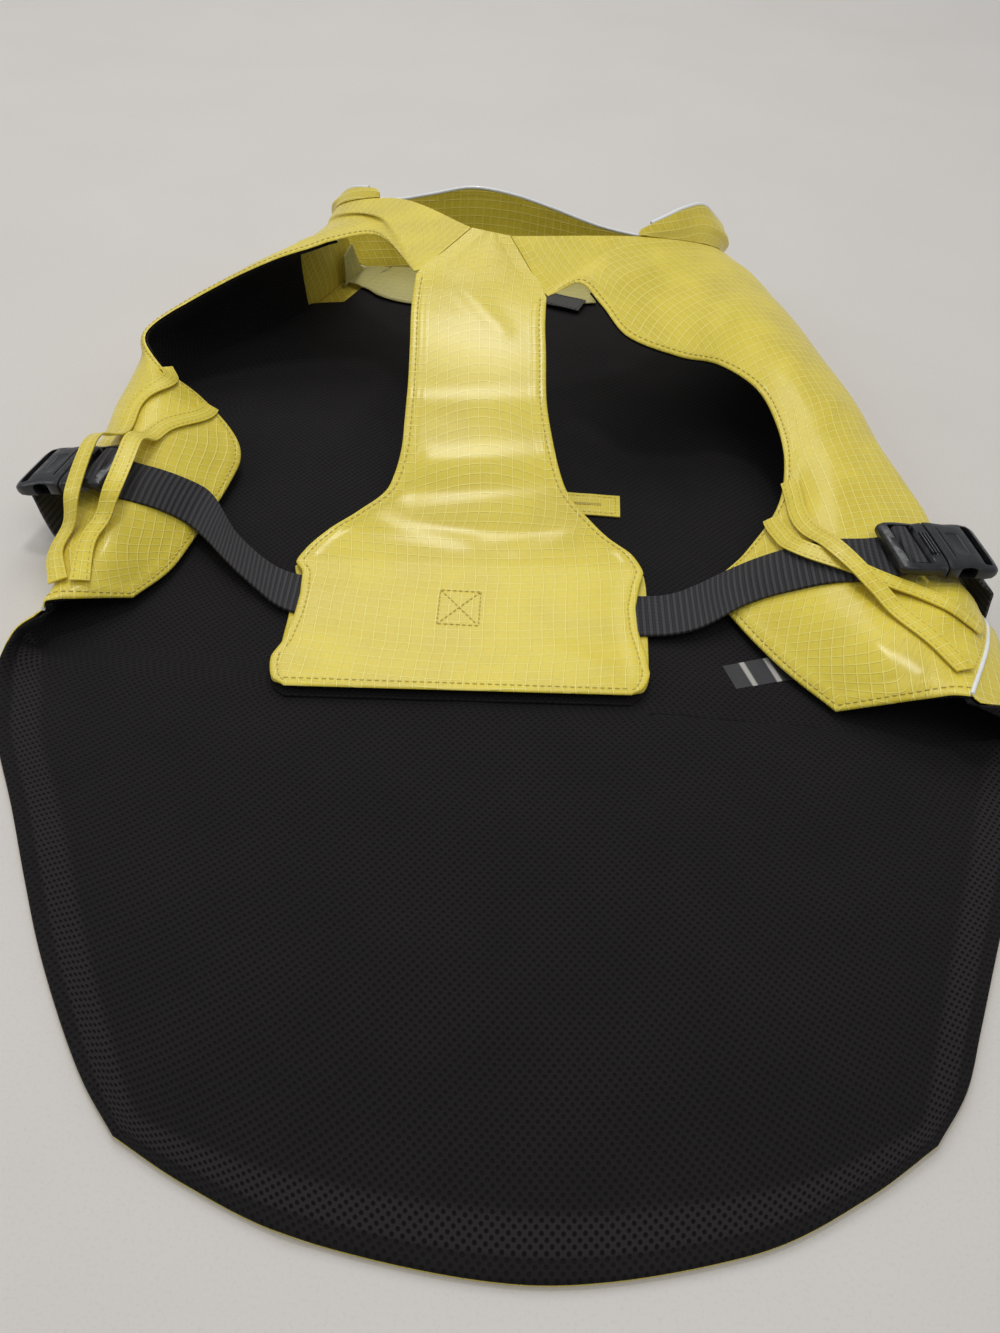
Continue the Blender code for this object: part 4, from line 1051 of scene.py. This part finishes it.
def build_chest():
    panel = tighten(chest_grid(0, tuck=True))
    obj = surface("chest_panel_cloth", panel, YELLOW_SHELL, RIPSTOP_CLOTH, True, chest_depth,
                  CREASES_CHEST)
    place_piece(obj, "yellow_ripstop", "chest_panel")
    declare_sheet(panel)
    facing = tighten(chest_grid(STRAP_FOOT + 2, "facing_drop", reach=-FACING_SHORTER))
    obj = surface("chest_facing_cloth", facing, YELLOW_SHELL, RIPSTOP_CLOTH, True, chest_depth)
    place_piece(obj, "yellow_ripstop", "chest_facing")
    declare_sheet(facing)
    lining = tighten(chest_grid(3, "lining_drop", reach=CHEST_BLACK_REACH))
    obj = surface("chest_lining_knit", lining, LINING_KNIT, CHEST_LINING_CLOTH, True, None,
                  CREASES_CHEST[1:])
    place_piece(obj, "black_spacer_mesh", "chest_lining")
    declare_sheet(lining)


def on_chest(k, x, lift=0.0):
    point = chest_point(k, x, tuck=True)
    point.z += crease_lift(point, CREASES_CHEST) + lift
    return point


def chest_edge_path(side, inset, first, last, count=120):
    path = []
    for k in steps(first, last, count):
        width = (chest_point(k, 1, tuck=True) - chest_point(k, 0, tuck=True)).length
        x = inset / width
        path.append(on_chest(k, x if side < 0 else 1 - x, 0.2))
    return path


def chest_paths():
    last = len(CHEST) - 1
    hem = (chest_point(last, 0.5) - chest_point(last - 1, 0.5)).length
    bottom = last - 3.6 / hem
    paths = [[on_chest(bottom, x, 0.2) for x in steps(0.03, 0.97, 60)]]
    for side in (-1, 1):
        paths.append(chest_edge_path(side, STITCH_INSET, 2.1, 11.2))
        paths.append(chest_edge_path(side, STITCH_INSET, 15.8, last - 0.5, 30))
        paths.append(chest_edge_path(side, CHANNEL_STITCH_INSET, 11.3, 15.7, 50))
    return paths


def box_paths():
    (x0, y0), (x1, y1) = BOX_STITCH
    corners = [Vector((x, y, 8.4)) for x, y in ((x0, y0), (x1, y0), (x1, y1), (x0, y1))]
    ends = list(zip(corners, corners[1:] + corners[:1]))
    ends += [(corners[0], corners[2]), (corners[1], corners[3])]
    paths = []
    for a, b in ends:
        path = [a.lerp(b, i / 8) for i in range(9)]
        for p in path:
            row = BOX_ROW - (p.y - BOX_ROW_Y) / BOX_ROW_STEP
            p.z = chest_point(row, 0.5).z + crease_lift(p, CREASES_CHEST) + 0.2
        paths.append(path)
    return paths


# ------------------------------------------------------------------ collar
COLLAR_SHARES = steps(0, 1, 13)


def collar_row(q):
    """Points from the collar's seam to its tip at row q of its table."""
    rs = [row.r for row in COLLAR]
    r = hermite(rs, slopes_monotone(rs), q)
    middle = through([row.middle for row in COLLAR], q, slopes_smooth)
    tip = through([row.tip for row in COLLAR], q, slopes_smooth)
    base, rear = neck_point(NECK, r), neck_point(NECK - 0.5, r)
    base = toward(base, rear, -COLLAR_SEAM)
    base.z = max(base.z, COLLAR_CLOTH / 2)
    profile = [base, base.lerp(middle, 0.5), middle, middle.lerp(tip, 0.5), tip]
    return [through(profile, share * 4, slopes_smooth) for share in COLLAR_SHARES]


def build_collar():
    rows = [collar_row(q) for q in steps(0, len(COLLAR) - 1, 230)]
    grid = tighten(plain_grid(rows))
    obj = surface("collar_cloth", grid, YELLOW_SHELL, COLLAR_CLOTH * 0.85, False,
                  lambda spot: ripple(spot.at, 14.0, 0.4), centred=True, lowest=COLLAR_CLOTH / 2)
    place_piece(obj, "yellow_ripstop", "collar")
    declare_sheet(grid)
    radius = 1.0
    rim = [toward(row[-1], row[-2], -(radius + 0.1)) for row in rows[4:-4:2]]
    place_piece(tube("collar_piping_cord", rim, radius, PIPING_TAPE), "white_piping", "collar_piping")
    path = [toward(row[-1], row[-2], 3.2) for row in rows[6:-6]]
    faces = [[], []]
    for i, point in enumerate(path):
        ahead = path[min(i + 1, len(path) - 1)] - path[max(i - 1, 0)]
        face = ahead.cross(Vector((0, 0, 1))).normalized() * (COLLAR_CLOTH * 0.42)
        faces[0].append(point + face)
        faces[1].append(point - face)
    return faces


def tube(name, points, radius, made_of):
    """A round cord through points in mm, with caps."""
    curve = bpy.data.curves.new(name, "CURVE")
    curve.dimensions = "3D"
    curve.bevel_depth = radius * MM
    curve.bevel_resolution = 3
    curve.use_fill_caps = True
    spline = curve.splines.new("POLY")
    spline.points.add(len(points) - 1)
    spline.use_smooth = True
    for target, point in zip(spline.points, points):
        target.co = (*to_frame(point), 1.0)
    obj = bpy.data.objects.new(name, curve)
    curve.materials.append(made_of)
    bpy.context.scene.collection.objects.link(obj)
    return obj


def build_seam_piping():
    for side, sections, outward in (("left", LEFT, 1), ("right", RIGHT, -1)):
        points = []
        for s in steps(0.02, NECK - 0.05, 200):
            outer = panel_normal(sections, max(s, 0.06), 3.95, outward)
            point = side_point(sections, s, 4) - outer * 0.35
            point.z = max(point.z, 0.95)
            points.append(point)
        cord = tube(f"seam_piping_{side}_cord", points, 0.95, PIPING_TAPE)
        place_piece(cord, "white_piping", f"seam_piping_{side}")


# ------------------------------------------------------------------ strips and webbing
def ribbon(name, centre, normals, width, thickness, made_of, columns=7, crown=0.0):
    """A flat band along a middle line."""
    last = len(centre) - 1
    rows = []
    for i, (point, normal) in enumerate(zip(centre, normals)):
        along = (centre[min(i + 1, last)] - centre[max(i - 1, 0)]).normalized()
        across = along.cross(normal).normalized() * width / 2
        rows.append([point + across * x + normal * crown * (1 - x * x) for x in steps(-1, 1, columns)])
    grid = tighten(plain_grid(rows))
    return surface(name, grid, made_of, thickness, centred=True), rows


def eased(values, passes):
    """Values with their bends eased; the first and the last one stay."""
    for _ in range(passes):
        inner = [(a + b + b + c) / 4 for a, b, c in zip(values, values[1:], values[2:])]
        values = [values[0], *inner, values[-1]]
    return values


def daisy_strip(name, sections, path, outward):
    creases = CREASES_LEFT if sections is LEFT else CREASES_RIGHT

    lifts = [p.lift for p in path]
    route = []
    for t in steps(0, len(path) - 1, 10 * (len(path) - 1) + 1):
        s, c, _ = through(path, t, slopes_smooth)
        route.append(Vector((s, c, hermite(lifts, slopes_monotone(lifts), t))))
    centre, normals = [], []
    for s, c, lift in eased(route, STRIP_EASING):
        normals.append(panel_normal(sections, s, c, outward))
        base = side_point(sections, s, c)
        centre.append(base + normals[-1] * (lift + STRIP_CLOTH / 2 + crease_lift(base, creases)))
    obj, rows = ribbon(f"{name}_cloth", centre, normals, STRIP_WIDTH, STRIP_CLOTH * 0.9,
                             YELLOW_SHELL, crown=0.12)
    place_piece(obj, "yellow_ripstop", name)
    paths = []
    for column in (1, -2):
        paths.append([row[column] + n * (STRIP_CLOTH * 0.45) for row, n in zip(rows, normals)])
    return obj, paths


def smooth_band(name, rows, thickness, made_of, held=0, share=8):
    """A band through rows of points; when rows are held at its ends, all the others have their bends
    eased.
    """
    columns = list(zip(*rows))
    count = share * (len(rows) - 1) + 1
    curves = [[through(column, t, slopes_monotone) for t in steps(0, len(rows) - 1, count)]
              for column in columns]
    fine = [list(row) for row in zip(*curves)]
    if held:
        free = slice(held * share, -held * share)
        lines_along = [eased(list(line), WEB_EASING) for line in zip(*fine[free])]
        fine[free] = [list(row) for row in zip(*lines_along)]
    grid = tighten(plain_grid(fine))
    return surface(name, grid, made_of, thickness, centred=True), grid


def web_on_panel(sections, line, outward):
    rows = []
    for s, c in line:
        rows.append([on_panel(sections, s + d, c, WEB_LIFT, outward)
                     for d in steps(WEB_HALF_SECTIONS, -WEB_HALF_SECTIONS, 5)])
    return rows


def web_free(rows):
    return [[Vector(r.far).lerp(Vector(r.near), i / 4) for i in range(5)] for r in rows]


def buckle_frame(side):
    place, turn, tilt = BUCKLE_PLACES[side]
    spin = Matrix.Rotation(math.radians(turn), 4, "Z") @ Matrix.Rotation(math.radians(tilt), 4, "Y")
    return Matrix.Translation(to_frame(Vector(place))) @ spin


def in_buckle(side, x, y, z):
    return buckle_frame(side) @ (Vector((x, y, z)) * MM) / MM + ORIGIN


def web_in_buckle(side, far_sign, line):
    half = far_sign * WEB_WIDTH / 2
    return [[in_buckle(side, x, half * (1 - i / 2), z) for i in range(5)] for x, z in line]


def build_webbing():
    left = web_in_buckle("left", -1, WEB_WRAP)[::-1]
    left += web_on_panel(LEFT, WEB_LEFT_LINE, 1)[::-1]
    left += web_free(WEB_FREE_LEFT)
    far, near = WEB_CHANNEL_Y
    middle = web_free([WebRow((x, far, WEB_CHANNEL_Z), (x, near, WEB_CHANNEL_Z))
                       for x in WEB_CHANNEL])
    right = web_free(WEB_FREE_RIGHT)
    right += web_on_panel(RIGHT, WEB_RIGHT_LINE, -1)
    right += web_in_buckle("right", 1, WEB_WRAP)
    obj, grid = smooth_band("belly_webbing_band", left + middle + right, WEB_CLOTH * 0.95, WEB_WEAVE,
                            len(WEB_WRAP) - 1)
    place_piece(obj, "black_webbing", "belly_webbing")
    declare_sheet(grid)
    slot = sum(SOCKET_SLOT) / 2
    for side, far_sign, feet in (("left", -1, ANCHOR_LEFT), ("right", 1, ANCHOR_RIGHT)):
        rows = web_in_buckle(side, far_sign, ((slot, 1.0), (slot, -5.2))) + web_free(feet)
        obj, grid = smooth_band(f"anchor_webbing_{side}_band", rows, WEB_CLOTH * 0.95, WEB_WEAVE)
        place_piece(obj, "black_webbing", f"anchor_webbing_{side}")
        declare_sheet(grid)


# ------------------------------------------------------------------ buckles
BUCKLE_SECTION_POINTS = 40
SliderRing = namedtuple("SliderRing", "x width depth lift")
SLIDER_RINGS = [SliderRing(-21.2, 27.0, 2.2, -0.6), SliderRing(-20.9, 29.0, 3.4, -0.5),
                SliderRing(-20.0, 30.6, 4.6, -0.3), SliderRing(-17.5, 32.2, 5.7, 0.0),
                SliderRing(-13.0, 33.0, 6.0, 0.0), SliderRing(-8.0, 32.4, 6.0, 0.0),
                SliderRing(-4.5, 31.4, 6.2, 0.0), SliderRing(-2.0, 32.2, 7.0, 0.0),
                SliderRing(-0.8, 32.6, 7.4, 0.0), SliderRing(-0.35, 31.8, 6.6, 0.0)]
SOCKET_RINGS = [SliderRing(0.35, 31.8, 7.0, 0.0), SliderRing(0.9, 32.8, 8.2, 0.0),
                SliderRing(3.0, 33.0, 8.4, 0.0), SliderRing(6.0, 32.0, 8.4, 0.0),
                SliderRing(10.0, 31.0, 8.2, 0.0), SliderRing(14.0, 32.2, 8.0, 0.0),
                SliderRing(18.0, 33.0, 7.4, 0.0), SliderRing(21.5, 32.0, 6.6, 0.0),
                SliderRing(23.6, 29.6, 5.0, 0.0), SliderRing(24.2, 27.0, 3.4, 0.0)]
SQUARENESS = 4.5        # power of a section's rounded outline


def buckle_body(name, rings):
    """A closed body through rounded sections along X, in the buckle's own metres."""
    bm = bmesh.new()
    loops = []
    for ring in rings:
        loop = []
        for i in range(BUCKLE_SECTION_POINTS):
            a = 2 * math.pi * i / BUCKLE_SECTION_POINTS
            c, s = math.cos(a), math.sin(a)
            y = math.copysign(abs(c) ** (2 / SQUARENESS), c) * ring.width / 2
            z = math.copysign(abs(s) ** (2 / SQUARENESS), s) * ring.depth / 2 + ring.lift
            loop.append(bm.verts.new(Vector((ring.x, y, z)) * MM))
        loops.append(loop)
    for lower, upper in zip(loops, loops[1:]):
        for i in range(BUCKLE_SECTION_POINTS):
            j = (i + 1) % BUCKLE_SECTION_POINTS
            bm.faces.new((lower[i], lower[j], upper[j], upper[i]))
    bm.faces.new(loops[0][::-1])
    bm.faces.new(loops[-1])
    bmesh.ops.recalc_face_normals(bm, faces=bm.faces)
    mesh = bpy.data.meshes.new(name)
    bm.to_mesh(mesh)
    bm.free()
    return bpy.data.objects.new(name, mesh)


def rounded_block(name, size, centre, radius=1.0, segments=3):
    """A box with rounded edges, in the buckle's own frame."""
    bm = bmesh.new()
    bmesh.ops.create_cube(bm, size=1.0)
    bmesh.ops.scale(bm, vec=Vector(size) * MM, verts=bm.verts)
    bmesh.ops.bevel(bm, geom=bm.edges, offset=radius * MM, segments=segments, profile=0.5,
                    affect="EDGES")
    bmesh.ops.translate(bm, vec=Vector(centre) * MM, verts=bm.verts)
    mesh = bpy.data.meshes.new(name)
    bm.to_mesh(mesh)
    bm.free()
    return bpy.data.objects.new(name, mesh)


def joined(body, tools, name, frame_matrix):
    """The body with its tools added or cut, applied to one mesh with rounded edges."""
    scene = bpy.context.scene.collection
    scene.objects.link(body)
    for tool, operation in tools:
        scene.objects.link(tool)
        step = body.modifiers.new(tool.name, "BOOLEAN")
        step.operation = operation
        step.object = tool
        step.solver = "EXACT"
    rim = body.modifiers.new("rim", "BEVEL")
    rim.width = 0.35 * MM
    rim.segments = 2
    rim.limit_method = "ANGLE"
    rim.angle_limit = math.radians(38)
    rim.use_clamp_overlap = True
    bpy.context.view_layer.update()
    depsgraph = bpy.context.evaluated_depsgraph_get()
    mesh = bpy.data.meshes.new_from_object(body.evaluated_get(depsgraph))
    mesh.name = name
    mesh.shade_smooth()
    mesh.set_sharp_from_angle(angle=math.radians(35))
    mesh.materials.clear()
    mesh.materials.append(BUCKLE_PLASTIC)
    for tool, _ in tools:
        bpy.data.objects.remove(tool)
    bpy.data.objects.remove(body)
    mesh.transform(frame_matrix)
    obj = bpy.data.objects.new(name, mesh)
    scene.objects.link(obj)
    return obj


def build_slider(side):
    body = buckle_body(f"slider_{side}", SLIDER_RINGS)
    tools = [(rounded_block(f"prong_{k}", (PRONG[0], PRONG[1], PRONG[2]),
                            (PRONG[0] / 2 - 1.0, k * PRONG_OFFSET, 0), 0.9), "UNION")
             for k in (-1, 0, 1)]
    start, end, floor = POCKET
    pocket = rounded_block("pocket", (end - start, SLOT_WIDTH, SLIDER_DEPTH + 2),
                           ((start + end) / 2, 0, floor + SLIDER_DEPTH / 2 + 1), 2.2)
    tools.append((pocket, "DIFFERENCE"))
    for k, (start, end) in enumerate(SLIDER_SLOTS):
        tools.append((rounded_block(f"slot_{k}", (end - start, SLOT_WIDTH, 4 * SLIDER_DEPTH),
                                    ((start + end) / 2, 0, 0), 1.2), "DIFFERENCE"))
    for k in (-1, 0, 1):
        grip = rounded_block(f"grip_{k}", (0.9, 15.0, 1.4), (-3.2 + k * 1.5, 0, 3.6), 0.4)
        tools.append((grip, "UNION"))
    obj = joined(body, tools, f"buckle_slider_{side}_shell", buckle_frame(side))
    return place_piece(obj, "black_plastic", f"buckle_slider_{side}")


def build_socket(side):
    body = buckle_body(f"socket_{side}", SOCKET_RINGS)
    tools = [(rounded_block("cavity", (2 * SOCKET_CAVITY[0], *SOCKET_CAVITY[1:]), (0, 0, 0), 1.0),
              "DIFFERENCE")]
    for k in (-1, 1):
        tools.append((rounded_block(f"window_{k}", (WINDOW[0], 2 * WINDOW[1], SOCKET_CAVITY[2]),
                                    (SOCKET_CAVITY[0] - WINDOW[0] / 2 - 1.5, k * BUCKLE_WIDTH / 2, 0),
                                    1.4), "DIFFERENCE"))
    tools.append((rounded_block("slot", (SOCKET_SLOT[1] - SOCKET_SLOT[0], SLOT_WIDTH,
                                         4 * SOCKET_DEPTH), (sum(SOCKET_SLOT) / 2, 0, 0), 1.2),
                  "DIFFERENCE"))
    tools.append((rounded_block("top_line", (0.8, 21.0, 1.2), (4.4, 0, SOCKET_DEPTH / 2), 0.3),
                  "DIFFERENCE"))
    tools.append((rounded_block("top_dish", (6.5, 14.0, 1.4), (10.0, 0, SOCKET_DEPTH / 2 + 0.2), 0.6),
                  "DIFFERENCE"))
    obj = joined(body, tools, f"buckle_socket_{side}_shell", buckle_frame(side))
    return place_piece(obj, "black_plastic", f"buckle_socket_{side}")


# ------------------------------------------------------------------ patches
def patch_grid(patch, inset=0.0, height=0.0):
    turn = Matrix.Rotation(math.radians(patch.turn), 4, "Z")
    rows = []
    for y in steps(-0.5, 0.5, 9):
        row = []
        for x in steps(-0.5, 0.5, 25):
            local = Vector((x * (patch.length - inset), y * (patch.width - inset), 0))
            place = turn @ local + Vector((patch.x, patch.y, patch.base + patch.thickness + height))
            row.append(place)
        rows.append(row)
    return rows


def outline(rows):
    return [*rows[0], *[row[-1] for row in rows[1:]], *rows[-1][-2::-1],
            *[row[0] for row in rows[-2::-1]]]


def build_patches():
    for name, patch, made_of, slot, node_name in (
            ("leash_welt_cloth", LEASH_WELT, YELLOW_SHELL, "yellow_ripstop", "leash_welt"),
            ("neck_label_tape", NECK_LABEL, BLACK_TAPE, "woven_label", "neck_label"),
            ("size_label_tape", SIZE_LABEL, BANDED_TAPE, "woven_label", "size_label")):
        grid = tighten(plain_grid(patch_grid(patch)))
        obj = surface(name, grid, made_of, patch.thickness * 0.8, False,
                      lambda spot: ripple(spot.at, 9.0, 0.25) + 0.1)
        place_piece(obj, slot, node_name)
        declare_sheet(grid)
    for name, patch, made_of, slot, inset in (
            ("leash_welt_stitches", LEASH_WELT, YELLOW_THREAD, "yellow_ripstop", 4.0),
            ("neck_label_stitches", NECK_LABEL, DARK_THREAD, "woven_label", 2.4)):
        stitching(name, [outline(patch_grid(patch, inset, 0.05))], made_of, slot, 2.6, 1.8, 0.2)
    slit = patch_grid(LEASH_WELT, LEASH_WELT.width, 0.05)
    middle = slit[len(slit) // 2]
    stitching("leash_slot_lip", [[p + Vector((0, d, 0)) for p in middle] for d in (-0.5, 0.5)],
              YELLOW_THREAD, "yellow_ripstop", 1.2, 1.15, 0.42)


# ------------------------------------------------------------------ floor, light and camera
CAMERA_PLACE = (0.0, -100.0, 323.0)     # table mm
CAMERA_PITCH = 44.0                     # degrees below the horizon
CAMERA_ROLL = 3.1
FOCAL_PIXELS, PICTURE_HEIGHT = 1117.0, 1333.0
SENSOR_HEIGHT = 24.0


def build_floor():
    made, tree, shader = new_material("pale_table", (0.62, 0.585, 0.545), 0.55)
    tone = spot_noise(tree, 9.0, 6.0)
    speck = spot_noise(tree, 900.0, 2.0)
    base = blend_colour(tree, tone, (0.60, 0.565, 0.525), (0.655, 0.62, 0.58))
    tree.links.new(blend_colour(tree, ramp(tree, speck, 0.5, 0.75, 0.0, 0.35), base,
                                (0.52, 0.48, 0.44)), shader.inputs["Base Color"])
    bpy.ops.mesh.primitive_plane_add(size=12.0, location=(0, 2.0, -0.0004))
    floor = bpy.context.object
    floor.name = "floor"
    floor.data.materials.append(made)


LIGHT_AIM = Vector((0, 0.05, 0))        # frame metres


def build_light():
    bpy.context.scene.view_settings.view_transform = "Standard"
    world = bpy.data.worlds.new("soft_room")
    bpy.context.scene.world = world
    world.use_nodes = True
    background = world.node_tree.nodes["Background"]
    background.inputs["Color"].default_value = (0.93, 0.96, 1.0, 1.0)
    background.inputs["Strength"].default_value = 0.42
    for name, place, size, power in (("ceiling_above", (-0.09, 0.41, 1.91), 0.26, 7.0),
                                     ("ceiling_far", (-0.25, 1.5, 1.9), 1.1, 14.0),
                                     ("ceiling_near", (0.5, -0.9, 2.1), 1.3, 9.0),
                                     ("window_side", (-1.9, 0.3, 1.3), 1.0, 5.0)):
        light = bpy.data.lights.new(name, "AREA")
        light.shape = "SQUARE"
        light.size = size
        light.energy = power
        lamp = bpy.data.objects.new(name, light)
        lamp.location = place
        aim = LIGHT_AIM - Vector(place)
        lamp.rotation_euler = aim.to_track_quat("-Z", "Y").to_euler()
        bpy.context.scene.collection.objects.link(lamp)


def build_camera():
    pitch, roll = math.radians(CAMERA_PITCH), math.radians(CAMERA_ROLL)
    forward = Vector((0, math.cos(pitch), -math.sin(pitch)))
    up = Vector((0, math.sin(pitch), math.cos(pitch)))
    right = Vector((1, 0, 0))
    across = right * math.cos(roll) + up * math.sin(roll)
    upward = up * math.cos(roll) - right * math.sin(roll)
    data = bpy.data.cameras.new("camera")
    data.sensor_fit = "VERTICAL"
    data.sensor_height = SENSOR_HEIGHT
    data.lens = FOCAL_PIXELS / PICTURE_HEIGHT * SENSOR_HEIGHT
    data.clip_start = 0.01
    camera = bpy.data.objects.new("camera", data)
    camera.matrix_world = Matrix((across, upward, -forward)).transposed().to_4x4()
    camera.location = to_frame(Vector(CAMERA_PLACE))
    bpy.context.scene.collection.objects.link(camera)
    bpy.context.scene.camera = camera


# ------------------------------------------------------------------ the coat
build_camera()
build_light()
build_floor()
shells = build_panels()
build_facing()
build_chest()
collar_faces = build_collar()
build_seam_piping()
strips, strip_paths = {"shell_left": [], "shell_right": [], "shell_back": []}, []
for strip_name, strip_side, strip_route, strip_out in (
        ("daisy_left_outer", "shell_left", DAISY_LEFT_OUTER, 1),
        ("daisy_left_inner", "shell_left", DAISY_LEFT_INNER, 1),
        ("daisy_right_over", "shell_right", DAISY_RIGHT_OVER, -1),
        ("daisy_right_under", "shell_right", DAISY_RIGHT_UNDER, -1)):
    strip, paths = daisy_strip(strip_name, LEFT if strip_out > 0 else RIGHT, strip_route, strip_out)
    strips[strip_side].append(strip)
    strip_paths += paths
for shell_name, (shell, shell_grid) in shells.items():
    declare_sheet(shell_grid)
build_webbing()
for buckle_side in ("left", "right"):
    build_slider(buckle_side)
    build_socket(buckle_side)
build_patches()

edge_paths = [edge_stitches(LEFT, 1, 0.15, THROAT - 0.2), edge_stitches(RIGHT, -1, 0.15, THROAT - 0.2),
              hem_stitches(LEFT, 1), hem_stitches(RIGHT, -1)]
seam_paths = [seam_stitches(LEFT, 1, 2.6), seam_stitches(RIGHT, -1, 2.6)]
stitching("edge_stitches", edge_paths, YELLOW_THREAD, "yellow_ripstop")
stitching("seam_stitches", seam_paths, YELLOW_THREAD, "yellow_ripstop")
stitching("strip_stitches", strip_paths, YELLOW_THREAD, "yellow_ripstop", radius=0.22)
stitching("chest_stitches", chest_paths(), YELLOW_THREAD, "yellow_ripstop")
stitching("box_stitches", box_paths(), YELLOW_THREAD, "yellow_ripstop", 2.6, 1.9, 0.3)
stitching("collar_stitches", collar_faces, YELLOW_THREAD, "yellow_ripstop", radius=0.22)
